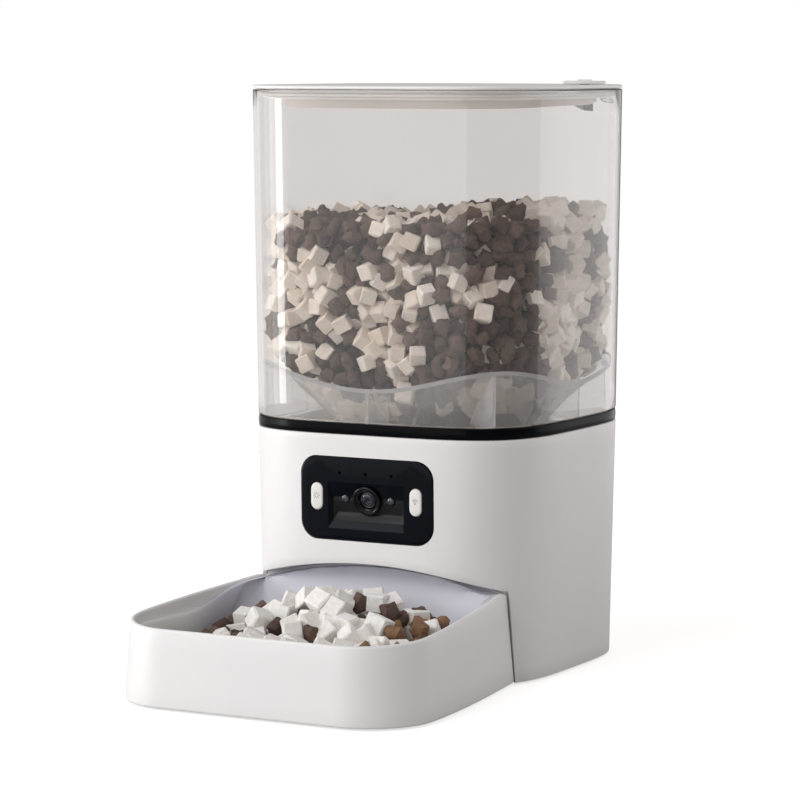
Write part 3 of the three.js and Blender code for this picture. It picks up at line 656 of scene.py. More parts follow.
# Painted light and shade: the bowl is the tray's white plastic, painted lighter at the front for light on its
# inner walls, and painted a darker lavender grey towards the rear for the shade under the base's arch.
BOWL_PAINTED_SHADE = finish("bowl_painted_shade", (0.57, 0.565, 0.63), (0.545, 0.54, 0.60), rough=(0.38, 0.5), depth=0.015)
BOWL = finish("bowl_painted_light_and_shade", (0.86, 0.855, 0.85), (0.83, 0.825, 0.825), rough=(0.38, 0.5), depth=0.015)
graded(BOWL, (0.57, 0.565, 0.63), -0.085, -0.045)
BLACK = finish("black_gloss", (0.003, 0.004, 0.007), (0.005, 0.006, 0.010), (0.06, 0.14), 0.004,
               Specular_IOR_Level=0.08)
BAND = finish("band_gloss", (0.002, 0.002, 0.003), (0.004, 0.004, 0.005), (0.12, 0.2), 0.004,
              Specular_IOR_Level=0.05)
HOOD = finish("hood_black", (0.008, 0.009, 0.009), (0.012, 0.013, 0.012), (0.3, 0.42), grain=1400.0,
              Specular_IOR_Level=0.22)
COLLAR = finish("collar_gloss", (0.003, 0.003, 0.004), (0.005, 0.005, 0.006), (0.05, 0.1), 0.003,
                Specular_IOR_Level=0.28)
SATIN = finish("black_satin", (0.03, 0.031, 0.033), rough=(0.4, 0.55), depth=0.04)
LENS = finish("lens_glass", (0.003, 0.004, 0.012), (0.006, 0.005, 0.02), (0.01, 0.03), 0.001, Coat_Weight=1.0)
LAMP = finish("lamp_glass", (0.05, 0.055, 0.075), (0.03, 0.032, 0.05), (0.03, 0.08), 0.002, Coat_Weight=0.8)
KEY = finish("key_white", (0.80, 0.785, 0.75), (0.76, 0.745, 0.71), rough=(0.28, 0.36), depth=0.01)
MARK = finish("key_mark", (0.30, 0.30, 0.30), rough=(0.5, 0.6), depth=0.01)
SILICONE = finish("soft_grey", (0.30, 0.31, 0.315), rough=(0.55, 0.7), grain=600.0, depth=0.03)
# Painted light: the seal is painted pale, far lighter than its soft grey silicone, for the shade it sits in
# under the lid.
SEAL = finish("seal_painted_light", (0.84, 0.82, 0.80), (0.80, 0.78, 0.76), rough=(0.5, 0.65), grain=600.0, depth=0.02)
LINER = finish("warm_liner", (0.86, 0.80, 0.76), (0.83, 0.77, 0.73), rough=(0.45, 0.6), depth=0.03)
# Painted light: the skirt is painted brighter than the white shell plastic, for the shade it sits in under
# the lid.
SKIRT = finish("skirt_painted_light", (0.95, 0.925, 0.905), (0.92, 0.895, 0.875), rough=(0.4, 0.5), depth=0.02)
RUBBER = finish("black_rubber", (0.025, 0.026, 0.027), rough=(0.7, 0.85), grain=500.0, depth=0.06)
ROTOR = finish("rotor_green", (0.42, 0.55, 0.50), rough=(0.4, 0.55), depth=0.03)
NYLON = finish("nylon", (0.78, 0.74, 0.66), rough=(0.35, 0.5), depth=0.02)
STEEL = finish("steel", (0.60, 0.61, 0.62), (0.52, 0.53, 0.55), (0.22, 0.38), 0.01, 700.0, Metallic=1.0)
BOARD = finish("circuit_board", (0.02, 0.13, 0.06), (0.03, 0.20, 0.09), (0.3, 0.45), 0.03, 900.0, 300.0, 1.0)
WRAP = finish("cell_wrap", (0.10, 0.16, 0.20), (0.14, 0.20, 0.24), rough=(0.2, 0.3), depth=0.01)
CREAM_FOOD = baked_food("cream_food", (0.76, 0.67, 0.58), (0.93, 0.88, 0.82), 420.0, 0.25)
WHITE_FOOD = baked_food("white_food", (0.84, 0.82, 0.80), (0.95, 0.94, 0.93), 420.0, 0.2)
RUSSET_FOOD = baked_food("russet_food", (0.20, 0.115, 0.065), (0.32, 0.19, 0.11), 380.0, 0.5)
BROWN_FOOD = baked_food("brown_food", (0.075, 0.047, 0.037), (0.165, 0.11, 0.09), 380.0, 0.5)

# ------------------------------------------------------------------ base


def housing_lower_edge():
    """Height of the shell's lower edge at each column: the floor clearance, the leaning joint beside the
    tray, and the arch, joined by a soft minimum."""
    radius = body_radius(TURNS)
    x, y = radius * np.cos(TURNS), radius * np.sin(TURNS)
    line = TRAY_REAR + JOINT_GAP
    foot_y = (line - TRAY_LEAN * CLEAR_Z) / draft(CLEAR_Z)
    top_y = (line - TRAY_LEAN * JOINT_TOP_Z) / draft(JOINT_TOP_Z)
    climb = CLEAR_Z + (foot_y - y) / (foot_y - top_y) * (JOINT_TOP_Z - CLEAR_Z)
    arch = arch_z(x * draft(60))
    low = np.exp(-np.clip(climb, -200, 200) / JOINT_SOFT) + np.exp(-arch / JOINT_SOFT)
    return np.maximum(-JOINT_SOFT * np.log(low), CLEAR_Z)


def base_shell():
    """White outer shell: a thin wall between its lower edge and the seam, both edges rounded, with the
    panel's window, the speaker's slots and the inlet's hole cut out."""
    low = housing_lower_edge()
    rows = [(inset, low + lift) for inset, lift in [(1.25, 0.0), (0.5, 0.05), (0.15, 0.2), (0.0, 0.55)]]
    rows += [(0.0, low + 0.55 + (SEAM_Z - 1.25 - low) * share) for share in np.linspace(0.06, 0.96, 14)]
    rows += [(0.0, SEAM_Z - 0.7), (0.2, SEAM_Z - 0.2), (0.7, SEAM_Z), (WALL, SEAM_Z)]
    rows += [(WALL, low + 0.5 + (SEAM_Z - 0.5 - low) * share) for share in (0.75, 0.5, 0.25, 0.0)]
    piece = made("base_shell", *skin(body_rings(rows)), WHITE, "base", ["base_housing"], "white_shell")
    window = stadium(PANEL_WIDTH + FIT_GAP, PANEL_HEIGHT + FIT_GAP, PANEL_CORNER) + [0, PANEL_Z]
    inlet = stadium(INLET_SIZE, INLET_SIZE, INLET_SIZE / 2 - 0.001, 8) + [INLET_X, INLET_Z]
    cutters = [prism(window, -100, -60), prism(inlet, 76, 95)]
    slot = stadium(24, 2.0, 0.99, 5)
    cutters += [prism(slot + [SPEAKER_X, SPEAKER_Z + SPEAKER_STEP * k], 76, 95) for k in range(-2, 3)]
    cut(piece, cutters)


def band():
    """Black band whose outer face bulges by a third of a millimetre, its inner face painted white: painted
    light for the shaded space inside it, seen through the tank.
    """
    corners = [(4.5, 138.2), (0.3, 138.2), (0.0, 141.3), (0.3, 144.4), (4.5, 144.4)]
    radii = [0.5, 0.7, 2.0, 0.7, 0.5]
    piece = ring_piece("gloss_band", corners, radii, BAND, "base", "trim_band", "black_gloss")
    # Painted light: faces turned inwards take the brighter white.
    second_finish(piece, WHITE_PAINTED_LIGHT, lambda at, n: (at[:, :2] * n[:, :2]).sum(1) < -0.01 * HALF_WIDTH)


def feet():
    """Round rubber pads: flat in the middle, rounded at the rim."""
    for name, node_name, body, radius, height, places in FEET:
        rim = min(0.6, height / 2)
        profile = [(radius * 0.4, 0), (radius * 0.8, 0), (radius - rim, 0), (radius - rim * 0.3, rim * 0.3)]
        profile += [(radius, rim), (radius, height), (radius * 0.5, height)]
        for i, at in enumerate(places, 1):
            solid(name % i, turned(profile, 40, at), RUBBER, body, [node_name % i], "black_rubber")


base_shell()
band()
feet()

# ------------------------------------------------------------------ camera panel

FACE_Y = float(front_y(0, PANEL_Z)) - PANEL_PROUD
LENS_TILT = math.atan2(HOOD_DEPTH, HOOD_TOP - HOOD_STEP)
LENS_Y = FACE_Y + HOOD_DEPTH * (HOOD_TOP - LENS_Z) / (HOOD_TOP - HOOD_STEP)


def hood_hull():
    """The sunken window: a rectangle in the face whose floor falls back to one low edge."""
    corners = []
    for side in (-1, 1):
        corners += [(side * HOOD_HALF, -95, HOOD_TOP), (side * HOOD_HALF, -95, HOOD_BOTTOM)]
        corners += [(side * HOOD_HALF, FACE_Y, HOOD_TOP), (side * HOOD_HALF, FACE_Y, HOOD_BOTTOM)]
        corners += [(side * HOOD_LOW_HALF, FACE_Y + HOOD_DEPTH, HOOD_STEP)]
    return hull(corners)


def tilted(rings):
    """Turns rings from the lens's own frame, +Z out of the lens, to the tilted window plate."""
    angle = math.pi / 2 + LENS_TILT
    c, s = math.cos(angle), math.sin(angle)
    x, y, z = rings[..., 0], rings[..., 1], rings[..., 2]
    return xyz(x, y * c - z * s + LENS_Y, y * s + z * c + LENS_Z)


def bore(radius, x):
    """A cutter along the lens's axis."""
    return solid("cutter", tilted(turned([(radius, -12), (radius, 6)], 40, (x, 0))), None, None)


def camera_panel():
    """Black panel that follows the body's front, with its openings cut through."""
    outline = stadium(PANEL_WIDTH, PANEL_HEIGHT, PANEL_CORNER, 14)
    rings = plate_rings(outline, (0, PANEL_Z), PANEL_PROUD, -2.2, 0.8)
    piece = solid("black_panel", rings, BLACK, "base", ["camera_panel"], "black_gloss")
    slot = stadium(KEY_WIDTH + FIT_GAP, KEY_HEIGHT + FIT_GAP, KEY_WIDTH / 2 + 0.29)
    hole = stadium(2.0, 2.0, 0.999, 7)
    cutters = [hood_hull(), bore(9.0, 0), bore(2.7, -LAMP_X), bore(2.7, LAMP_X)]
    cutters += [prism(slot + [side * KEY_X, KEY_Z], -95, -78) for side in (-1, 1)]
    cutters += [prism(hole + [side * HOLE_X, HOLE_Z], -95, -78) for side in (-1, 0, 1)]
    bevelled(cut(piece, cutters, 30), 0.25)


def lens_parts():
    """Stepped ring round the lens, the domed lens, and the two lamps."""
    profile = [(5.2, -7), (7, -7), (7, 0.4), (8.5, 0.4), (8.7, 0.6), (8.7, 1.7), (8.5, 2.2), (8.0, 2.5)]
    profile += [(7.2, 2.55), (6.9, 2.35), (6.7, 1.7), (6.4, 1.55), (5.9, 1.5), (5.6, 1.2), (5.3, 0.9)]
    profile += [(5.2, 0.4)]
    made("lens_collar", *skin(tilted(turned(profile, 72))), COLLAR, "base", ["lens_ring"], "black_gloss")
    dome = [(2.0, -6), (4.8, -6), (4.8, 0.1), (4.6, 0.35), (4.35, 0.45), (4.1, 0.35), (3.9, 0.3)]
    dome += [(r, 0.3 + math.sqrt(1 - (r / 3.9) ** 2)) for r in (3.6, 3.1, 2.5, 1.8, 1.1, 0.5)]
    solid("domed_lens", tilted(turned(dome, 56)), LENS, "base", ["camera_lens"], "dark_lens")
    dome = [(1.0, -5), (2.3, -5), (2.3, 0.0)]
    dome += [(2.3 * math.cos(a), 1.2 * math.sin(a)) for a in np.linspace(0.15, 1.4, 7)]
    for side, x in (("left", -LAMP_X), ("right", LAMP_X)):
        rings = tilted(turned(dome, 32, (x, 0)))
        solid("lamp_dome_" + side, rings, LAMP, "base", ["infrared_lamp_" + side], "dark_lens")


def key_cap(name, node_name, body, side):
    """Oval key: a stadium with a softly crowned face and a wider flange behind the panel. Each row is an
    outline, its share of the full size and its distance behind the face."""
    oval = stadium(KEY_WIDTH, KEY_HEIGHT, KEY_WIDTH / 2 - 0.01)
    flange = stadium(KEY_WIDTH + 2.6, KEY_HEIGHT + 2.6, KEY_WIDTH / 2 + 1.29)
    rows = [(flange, 0.3, 5.1), (flange, 0.7, 5.1), (flange, 1, 5.1), (flange, 1, 3.8), (oval, 1, 3.7)]
    rows += [(oval, 1, 0.9), (oval, 0.97, 0.45), (oval, 0.9, 0.2), (oval, 0.75, 0.08), (oval, 0.5, 0.02)]
    rings = []
    for outline, share, behind in [*rows, (oval, 0.22, 0)]:
        x, z = (outline * share + [side * KEY_X, KEY_Z]).T
        rings.append(xyz(x, KEY_FACE_Y + behind, z))
    solid(name, rings, KEY, body, [node_name], "button_white")


def stroke(name, path, width, centre, body):
    """A printed mark: a flat ribbon of even width along a path of (x, z), a hair proud of the key."""
    step = np.gradient(path, axis=0)
    side = np.stack([-step[:, 1], step[:, 0]], -1) / np.hypot(*step.T)[:, None] * width / 2
    n = len(path)
    x, z = (np.concatenate([path + side, path - side]) + centre).T
    points = np.concatenate([xyz(x, KEY_FACE_Y - 0.03 + back, z) for back in (0, 0.06)])
    a = np.arange(n - 1)
    b, c, d = n + a, 2 * n + a, 3 * n + a
    strips = [(a, a + 1, b + 1, b), (c, d, d + 1, c + 1), (a, c, c + 1, a + 1), (b, b + 1, d + 1, d)]
    ends = np.array([[0, n, 3 * n, 2 * n], [n - 1, 3 * n - 1, 4 * n - 1, 2 * n - 1]])
    made(name, points, [np.concatenate([np.stack(strip, -1) for strip in strips] + [ends])], MARK, body)


def arc(radius, start, end, count):
    """Points (x, z) on a circle between two angles in degrees."""
    turn = np.radians(np.linspace(start, end, count))
    return radius * np.stack([np.cos(turn), np.sin(turn)], -1)


def key_marks():
    """A small sun on the left key and two arcs over a dot on the right one."""
    centre = [-KEY_X, KEY_Z + 0.4]
    stroke("key_sun_ring", arc(1.1, 0, 360, 33), 0.35, centre, "feed_key")
    for k in range(8):
        ray = np.linspace(1.6, 2.2, 3)[:, None] * arc(1, 45 * k, 45 * k, 1)
        stroke("key_sun_ray_%d" % (k + 1), ray, 0.35, centre, "feed_key")
    centre = [KEY_X, KEY_Z - 0.6]
    stroke("key_arc_1", arc(1.3, 40, 140, 15), 0.38, centre, "link_key")
    stroke("key_arc_2", arc(2.3, 40, 140, 15), 0.38, centre, "link_key")
    stroke("key_dot", arc(0.28, 0, 360, 33), 0.5, centre, "link_key")


camera_panel()
softened("camera_hood", HOOD, 0.3)
lens_parts()
key_cap("left_key_cap", "feed_button", "feed_key", -1)
key_cap("right_key_cap", "link_button", "link_key", 1)
key_marks()

# ------------------------------------------------------------------ tank and lid


def tank_wall():
    """Clear wall of even thickness, its rim and foot rounded."""
    corners = [(WALL, 144.8), (0, 144.8), (0, RIM_Z), (WALL, RIM_Z)]
    ring_piece("tank_wall", corners, 0.9, TANK, "tank", "tank_shell", "clear_tank", 12)


def bearings(turn):
    """Unit vectors in plan along an angle and square to it."""
    return np.array([math.cos(turn), math.sin(turn)]), np.array([-math.sin(turn), math.cos(turn)])


def lock_lug():
    """Small shelf that the lid's cam turns under: a level, straight bar from the tank's corner."""
    along, side = bearings(LUG_TURN)
    outline = [along * a + side * b + KNOB for a, b in [(10, -4), (17, -4), (18, 0), (17, 4), (10, 4)]]
    bevelled(solid("lock_lug", [level(outline, z) for z in (319.6, 321.4)], TANK, "tank"), 0.3)


def cone():
    """Clear cone from the neck out to wherever the tank's wall is, so its top edge waves up into the corners,
    with eight ribs under it."""
    radius = body_radius(TURNS, WALL + 0.4)
    wall = radius * draft(cone_z(radius))
    neck, outside = NECK_RADIUS, NECK_RADIUS + NECK_WALL
    under = [outside + (wall - outside) * share for share in np.linspace(0, 1, 9)]
    over = [neck + (wall - neck) * share for share in np.linspace(1, 0, 9)]
    rings = [around(r, TURNS, cone_z(r) - CONE_DROP) for r in under]
    rings += [around(r, TURNS, cone_z(r)) for r in over]
    rings += [around(r, TURNS, NECK_Z) for r in (neck, outside)]
    made("clear_cone", *skin(rings), CONE, "tank", ["funnel"], "clear_tank")
    for k in range(8):
        turn = k * math.pi / 4
        end = float(np.interp(turn, TURNS, wall, period=2 * math.pi)) - 0.2
        outline = [(RIB_RADIUS, RIB_Z), (end - 0.4, RIB_Z)]
        outline += [(r, cone_z(r) - CONE_DROP) for r in (end, RIB_RADIUS)]
        along, side = bearings(turn)
        rings = [[[*(along * r + side * offset), z] for r, z in outline] for offset in (-0.8, 0.8)]
        solid("cone_rib_%d" % (k + 1), rings, CONE, "tank")


def lid():
    """Thin white lid with a rounded edge and a shallow dish, its skirt and seal, and its lock's knob."""
    rim = [(40, 330.3), (15, 330.3), (1.2, 330.3), (0.4, 330.5), (0.0, 331.1), (0.1, 331.8), (0.6, 332.25)]
    rim += [(1.6, 332.4), (5, 332.4), (7, 332.3), (9, 332.2), (20, 332.2), (45, 332.2), (70, 332.2)]
    # The lid takes the brighter white: painted light on its top.
    solid("lid_top", body_rings(rim), WHITE_PAINTED_LIGHT, "lid", ["lid_cover"], "white_shell")
    # The skirt and seal are painted pale: painted light for the shade they sit in under the lid.
    skirt = [(6.2, 324.4), (4.2, 324.4), (4.2, 330.0), (6.2, 330.0)]
    ring_piece("lid_lower_skirt", skirt, 0.5, SKIRT, "lid", "lid_skirt", "white_shell")
    seal = [(3.9, 325.6), (2.75, 326.2), (2.75, 327.4), (3.9, 328.0)]
    ring_piece("lid_ring_seal", seal, 0.3, SEAL, "lid", "lid_seal", "soft_grey")
    # The knob's disc and ridge take the same painted-light white.
    knob = [(6, 332.7), (11.6, 332.7), (12.3, 332.9), (12.5, 333.3), (12.4, 333.9), (11.8, 334.3)]
    rings = turned([*knob, (11, 334.4), (5, 334.4)], 56, KNOB)
    solid("lock_disc", rings, WHITE_PAINTED_LIGHT, "lid_lock", ["lid_knob"], "white_shell")
    along, side = bearings(KNOB_TURN)
    outline = stadium(21, 3.2, 1.59, 6)
    rings = []
    for share, z in [(0.98, 334.3), (1.0, 334.6), (0.97, 334.95), (0.85, 335.15), (0.5, 335.2)]:
        length, width = (outline * [1 - (1 - share) * 0.2, share]).T
        rings.append(level(length[:, None] * along + width[:, None] * side + KNOB, z))
    solid("lock_ridge", rings, WHITE_PAINTED_LIGHT, "lid_lock")


tank_wall()
lock_lug()
cone()
lid()
softened("lid_liner", LINER, 0.4)
softened("lid_cam", SATIN, 0.4)

# ------------------------------------------------------------------ tray


def tray_outline(inset):
    """Plan of the tray: straight rear, sides as quadratic curves, round front corners, straight front.
    Counter-clockwise from the right end of the rear edge, as (x, y)."""
    w, rear = TRAY_HALF_WIDTH - inset, TRAY_REAR_HALF_WIDTH - inset
    front, back, r = TRAY_FRONT + inset, TRAY_REAR - inset, TRAY_CORNER - inset
    t = np.linspace(0, 1, 40)[:, None]
    rear_edge = (1 - t) * [rear, back] + t * [-rear, back]
    a, b, c = np.array([-rear, back]), np.array([-w, -140.0]), np.array([-w, front + r])
    left = (1 - t) ** 2 * a + 2 * t * (1 - t) * b + t**2 * c
    turn = np.linspace(0, np.pi / 2, 20)[:, None]
    left_corner = [-w + r, front + r] + r * np.concatenate([-np.cos(turn), -np.sin(turn)], 1)
    right_corner = [w - r, front + r] + r * np.concatenate([np.sin(turn), -np.cos(turn)], 1)
    f = np.linspace(0, 1, 24)[:, None]
    front_edge = (1 - f) * [-w + r, front] + f * [w - r, front]
    right = left[::-1] * [-1, 1]
    parts = [rear_edge[:-1], left[:-1], left_corner[:-1], front_edge[:-1], right_corner[:-1], right[:-1]]
    return np.concatenate(parts)


def tray_ring(inset, z, shrink=1.0):
    """A ring of the tray: the plan drawn in by the draft towards the tray's middle, its rear leaning."""
    x, y = tray_outline(inset).T
    scale = 1 - TRAY_DRAFT * z
    blend = np.clip((y + 90) / 22, 0, 1)
    y = (1 - blend) * (TRAY_CENTRE + (y - TRAY_CENTRE) * scale) + blend * (y - TRAY_LEAN * z)
    return xyz(x * scale * shrink, TRAY_CENTRE + (y - TRAY_CENTRE) * shrink, z)


def level_ring(inset, z, plan_z=BOWL_PLAN_Z, shrink=1.0):
    """A ring with the tray's plan at one height whose points lie at another."""
    row = tray_ring(inset, plan_z, shrink)
    row[:, 2] = z
    return row


def rim_height():
    """Height of the tray's rim at each column: a straight rise to the base, and the arch at the rear."""
    x, y = tray_outline(0).T
    rise = RIM_FRONT_Z + (RIM_REAR_Z - RIM_FRONT_Z) * (y - TRAY_FRONT) / (TRAY_REAR - TRAY_FRONT)
    rear = arch_z(x) - 1.0
    near = np.clip((y - TRAY_REAR + 6) / 6, 0, 1)
    return rise * (1 - near) + rear * near


def tray_tub():
    """White tray: rounded foot, drafted wall, fully rounded rim, then the inner wall down to a flat floor."""
    rim = rim_height()
    rings = [tray_ring(1.6, CLEAR_Z, shrink) for shrink in (0.45, 0.8, 1.0)]
    rings += [tray_ring(inset, CLEAR_Z + lift) for inset, lift in ((0.7, 0.15), (0.2, 0.6), (0.0, 1.5))]
    rings += [tray_ring(0, CLEAR_Z + 1.5 + (rim - 3 - CLEAR_Z) * share) for share in (0.2, 0.4, 0.6, 0.8)]
    for a in np.linspace(0, np.pi, 9):
        rings.append(tray_ring(1.5 - 1.5 * math.cos(a), rim - 1.5 + 1.5 * math.sin(a)))
    rings += [tray_ring(3.0, TRAY_FLOOR_Z + (rim - 5.3) * share) for share in (0.7, 0.4, 0.15)]
    rings += [tray_ring(3.2, TRAY_FLOOR_Z + 0.4)]
    rings += [tray_ring(3.8, TRAY_FLOOR_Z, shrink) for shrink in (1.0, 0.7, 0.3)]
    piece = solid("tray_tub", rings, TRAY_WHITE, "tray", ["tray_shell"], "white_shell")
    # Painted shade: the tub's inner rear wall, under the base's arch, takes the bowl's darker lavender grey.
    second_finish(piece, BOWL_PAINTED_SHADE, lambda at, n: (n[:, 1] < -0.6) & (at[:, 1] > -75) & (at[:, 2] > 8))


def ramp_z(x, y):
    """Concave slide from the outlet down to the bowl's floor: height goes with the signed square of the
    distance from the slide's foot, up to a little under the arch."""
    share = (y + 124) / (124 - 73)
    return np.minimum(BOWL_FLOOR_Z + 53 * share * np.abs(share), arch_z(x) - BOWL_UNDER_ARCH)


def bowl():
    """Inner bowl: level lip, steep wall, flat floor and the slide at the rear, with a quarter-round fillet
    between the wall and whatever lies beside it. The fillet is R less the root of R squared less (R - d)
    squared, at distance d from the wall."""
    lip = tray_ring(5.6, BOWL_LIP_Z)
    climb = np.clip((lip[:, 1] + 142) / 52, 0, 1)
    climb = climb * climb * (3 - 2 * climb)
    raised = BOWL_LIP_Z + (arch_z(lip[:, 0]) - BOWL_UNDER_ARCH - BOWL_LIP_Z) * climb
    top = np.maximum(raised, ramp_z(lip[:, 0], lip[:, 1]))

    def surface(inset, away, shrink=1.0):
        x, y, _ = tray_ring(inset, BOWL_PLAN_Z, shrink).T
        ground = np.maximum(BOWL_FLOOR_Z, ramp_z(x, y))
        radius = np.clip(top - ground, 1.5, 12 + 12 * np.clip((ground - BOWL_FLOOR_Z) / 16, 0, 1))
        short = np.minimum(np.clip(radius - away, 0, None), radius)
        return np.minimum(ground + radius - np.sqrt(radius**2 - short**2), top)

    foot = surface(6.6, 0.0)
    rings = [
        level_ring(inset, top + (foot - top) * share, top)
        for share, inset in ((0.0, 5.0), (0.03, 5.4), (0.1, 5.8), (0.4, 6.2), (0.7, 6.4))
    ]
    for away in (0, 0.3, 0.8, 1.6, 2.7, 4.2, 6.2, 8.6, 11.4, 14.4, 18.0):
        rings.append(level_ring(6.6 + away, surface(6.6 + away, away)))
    for shrink in (0.93, 0.85, 0.76, 0.66, 0.54, 0.4, 0.25, 0.1):
        rings.append(level_ring(24.6, surface(24.6, 25.0, shrink), shrink=shrink))
    outer = [tray_ring(5.0, 4.4, 0.4), tray_ring(5.0, 4.4, 0.8)]
    outer += [level_ring(inset, z) for inset, z in [(5.0, 4.4), (3.6, 6.0), (3.3, 20.0)]]
    outer += [level_ring(3.25, top - 0.6), level_ring(3.5, top - 0.2), level_ring(3.9, top, BOWL_LIP_Z)]
    made("tray_bowl", *skin(outer + rings, "poles"), BOWL, "tray", ["tray_basin"], "white_shell", 22)


tray_tub()
bowl()

# ------------------------------------------------------------------ dry food


def cube_kibble():
    """A cube with a narrow flat along each edge and at each corner, in triangles."""
    shape = bmesh.new()
    bmesh.ops.create_cube(shape, size=1.0)
    bmesh.ops.bevel(shape, geom=shape.edges[:], offset=0.07, segments=1, affect="EDGES")
    bmesh.ops.triangulate(shape, faces=shape.faces)
    mesh = bpy.data.meshes.new("cube_kibble")
    shape.to_mesh(mesh)
    shape.free()
    points = read(mesh.vertices, "co").astype(float)
    faces = read(mesh.loops, "vertex_index", 1, np.int32).reshape(-1, 3)
    bpy.data.meshes.remove(mesh)
    return points, faces


def fluted_kibble():
    """A puffed rosette: radius swells with five lobes round the axis, over four rings closed at both ends."""
    turn = np.linspace(0, 2 * np.pi, 10, endpoint=False)
    lobes = 0.5 * (1 + 0.17 * np.cos(5 * turn))
    rings = [around(lobes * k, turn, z) for k, z in [(0.62, -0.27), (0.98, -0.1), (0.98, 0.12), (0.6, 0.28)]]
    points, (quads, bottom, top) = skin(rings, "poles")
    return points, np.concatenate([quads[:, [0, 1, 2]], quads[:, [0, 2, 3]], bottom, top])


def random_turns(rng, count):
    """Rotation matrices from random unit quaternions."""
    q = rng.normal(size=(count, 4))
    q /= np.linalg.norm(q, axis=1)[:, None]
    w, x, y, z = q.T
    rows = [
        [1 - 2 * (y * y + z * z), 2 * (x * y - z * w), 2 * (x * z + y * w)],
        [2 * (x * y + z * w), 1 - 2 * (x * x + z * z), 2 * (y * z - x * w)],
        [2 * (x * z - y * w), 2 * (y * z + x * w), 1 - 2 * (x * x + y * y)],
    ]
    return np.array(rows).transpose(2, 0, 1)


def scattered(name, shape, centres, sizes, rng, look, body, uneven, sharp):
    """One mesh of many pieces of food: the shape turned at random at each centre, with its own tone."""
    points, faces = shape
    count = len(centres)
    warped = points[None] * sizes[:, None, :] + rng.normal(scale=uneven, size=(count, len(points), 3))
    placed = np.einsum("nij,nkj->nki", random_turns(rng, count), warped) + centres[:, None, :]
    all_faces = faces[None] + (np.arange(count) * len(points))[:, None, None]
    piece = made(name, placed.reshape(-1, 3), [all_faces.reshape(-1, 3)], look, body, sharp=sharp)
    tone = piece.data.attributes.new("tone", "FLOAT", "POINT")
    tone.data.foreach_set("value", np.repeat(rng.uniform(0, 1, count), len(points)).astype(np.float32))


def cubes(name, centres, size, rng, look, body):
    """Cubes of food at these centres, each a little longer or shorter along each of its edges."""
    sizes = rng.uniform(*size, (len(centres), 1)) * rng.uniform(0.88, 1.08, (len(centres), 3))
    scattered(name, cube_kibble(), centres, sizes, rng, look, body, 0.13, 20)


def rosettes(name, centres, size, rng, look, body, uneven, sharp):
    """Rosettes of food at these centres."""
    sizes = rng.uniform(*size, (len(centres), 1)) * [1, 1, 1.05]
    scattered(name, fluted_kibble(), centres, sizes, rng, look, body, uneven, sharp)


def packed(rng, inside, low, high, pitch):
    """Close-packed centres with a little jitter, kept where inside(x, y, z) holds."""
    axes = [np.arange(lo, hi, step) for lo, hi, step in zip(low, high, (pitch, pitch * 0.87, pitch * 0.82))]
    x, y, z = np.meshgrid(*axes, indexing="ij")
    x = x + (np.arange(len(axes[1])) % 2)[None, :, None] * pitch / 2
    y = y + (np.arange(len(axes[2])) % 2)[None, None, :] * pitch / 2
    centres = np.stack([x, y, z], -1).reshape(-1, 3)
    centres = centres + rng.uniform(-0.24, 0.24, centres.shape) * pitch
    return centres[inside(*centres.T)]


def clumped(centres, share):
    """Chance of a cream piece at each centre: a share that sways with three crossed sine waves, with a darker
    pocket in the front right corner and a paler one along the right wall. The paler one is painted light
    that stands in for the milky reflection on that wall."""
    x, y, z = centres.T
    sway = np.sin(x / 9 + y / 13) + np.sin(z / 10 + x / 15 + 1.0) + np.sin(y / 11 - z / 17 + 2.0)
    corner = np.exp(-((x - 74) ** 2 + (y + 66) ** 2) / 500)
    # Painted light: paler food along the right wall stands in for the milky reflection there.
    side = np.exp(-((x - 84) ** 2) / 300 - (y - 10) ** 2 / 2400)
    return np.clip(share + 0.22 * sway - 0.5 * corner + 0.35 * side, 0.05, 0.95)


def tank_food():
    """Food in the tank: the layers next to the wall, the cone and the top, round an empty core."""
    rng = np.random.default_rng(7)

    def layer(x, y, z):
        radius = np.hypot(x, y)
        wall = body_radius(np.arctan2(y, x), WALL) * draft(z) - radius
        floor = (z - cone_z(radius)) * 0.82
        surface = 258.0 + 3 * np.sin(x / 31) + 2.5 * np.cos(y / 27) - z
        nearest = np.minimum(np.minimum(wall, floor), surface)
        return (wall > 6.2) & (floor > 5.5) & (surface > 0) & (nearest < 25) & (radius > 20)

    centres = packed(rng, layer, (-86, -84, 146), (86, 84, 268), 9.4)
    cream = rng.uniform(size=len(centres)) < clumped(centres, 0.45)
    cubes("tank_food_cubes", centres[cream], (8.2, 9.8), rng, CREAM_FOOD, "tank")
    rosettes("tank_food_rosettes", centres[~cream], (9.6, 11.4), rng, BROWN_FOOD, "tank", 0.3, 60)


def heap_z(x, y):
    """Height of the heap in the tray: a low mound, highest in the middle towards the outlet."""
    mound = 24 * np.exp(-((x / 64) ** 2) - ((y + 112) / 52) ** 2)
    return 27 + mound + 2 * np.sin(x / 9) * np.cos(y / 8)


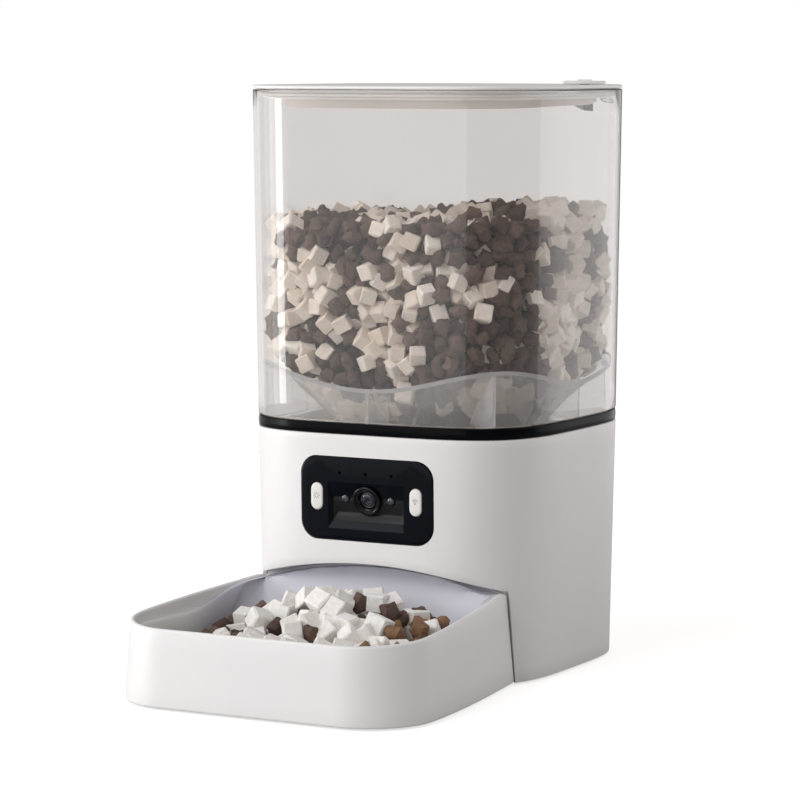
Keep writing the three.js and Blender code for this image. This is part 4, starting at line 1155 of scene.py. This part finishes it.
def tray_food():
    """Food in the tray's bowl, cubes in the middle and more rosettes at both ends."""
    rng = np.random.default_rng(11)

    def layer(x, y, z):
        half = 84 - 10 * np.clip((y + 165) / 90, 0, 1)
        corner = np.hypot(np.clip(np.abs(x) - (half - 34), 0, None), np.clip(-(y + 211 - 34), 0, None))
        inside = (np.abs(x) < half - 9) & (corner < 34 - 9) & (y > -203) & (y < -88)
        ground = np.maximum(BOWL_FLOOR_Z, ramp_z(x, y)) + 6
        return inside & (z > ground) & (z < np.maximum(heap_z(x, y), ground + 3))

    centres = packed(rng, layer, (-80, -206, 11), (80, -86, 66), 11.0)
    share = 0.14 + 0.62 * np.exp(-(((centres[:, 0] - 2) / 46) ** 4))
    cream = rng.uniform(size=len(centres)) < share
    cubes("tray_food_cubes", centres[cream], (10.2, 12.4), rng, WHITE_FOOD, "tray")
    right = centres[:, 0] >= 38
    rosettes("tray_food_rosettes", centres[~cream & ~right], (11.0, 13.0), rng, BROWN_FOOD, "tray", 0.2, 50)
    rosettes("tray_food_russet", centres[~cream & right], (11.0, 13.0), rng, RUSSET_FOOD, "tray", 0.2, 50)


tank_food()
tray_food()

# ------------------------------------------------------------------ pieces inside the base and under it

INSIDE = [
    (INNER_WHITE, 0.3, "tray_bay"),
    # Painted light: the deck takes the brighter white for the shade it sits in under the cone.
    (WHITE_PAINTED_LIGHT, 0.3, "deck"),
    (WHITE, 0.3, "bottom_cover"),
    (WHITE, 0.25, "battery_door"),
    (INNER_WHITE, 0.3, "rotor_chamber chute"),
    (SATIN, 0.5, "battery_box"),
    (SATIN, 0.4, "gearbox_case gearbox_lid"),
    (SATIN, 0.3, "speaker"),
    (SATIN, 0.25, "power_jack"),
    (ROTOR, 0.5, "rotor"),
    (SILICONE, 0.5, "stirrer"),
    (NYLON, 0.15, "output_gear idler_gear"),
    (STEEL, 0.1, "motor_pinion"),
    (STEEL, 0.5, "motor"),
    (STEEL, 0.3, "drive_shaft"),
    (STEEL, 0.2, "idler_axle"),
    (STEEL, 0.08, "battery_contact_front battery_contact_rear"),
    (WRAP, 0.6, "battery_cell_1 battery_cell_2 battery_cell_3"),
    (BOARD, 0.15, "control_board camera_board panel_board"),
    (STEEL, 0.15, "microphone"),
    (LAMP, 0.15, "light_sensor"),
    (KEY, 0.15, "status_lamp"),
    (STEEL, 0.2, "cover_screw_1 cover_screw_2 cover_screw_3 cover_screw_4"),
]
for look, edge, names in INSIDE:
    for name in names.split():
        softened(name, look, edge)
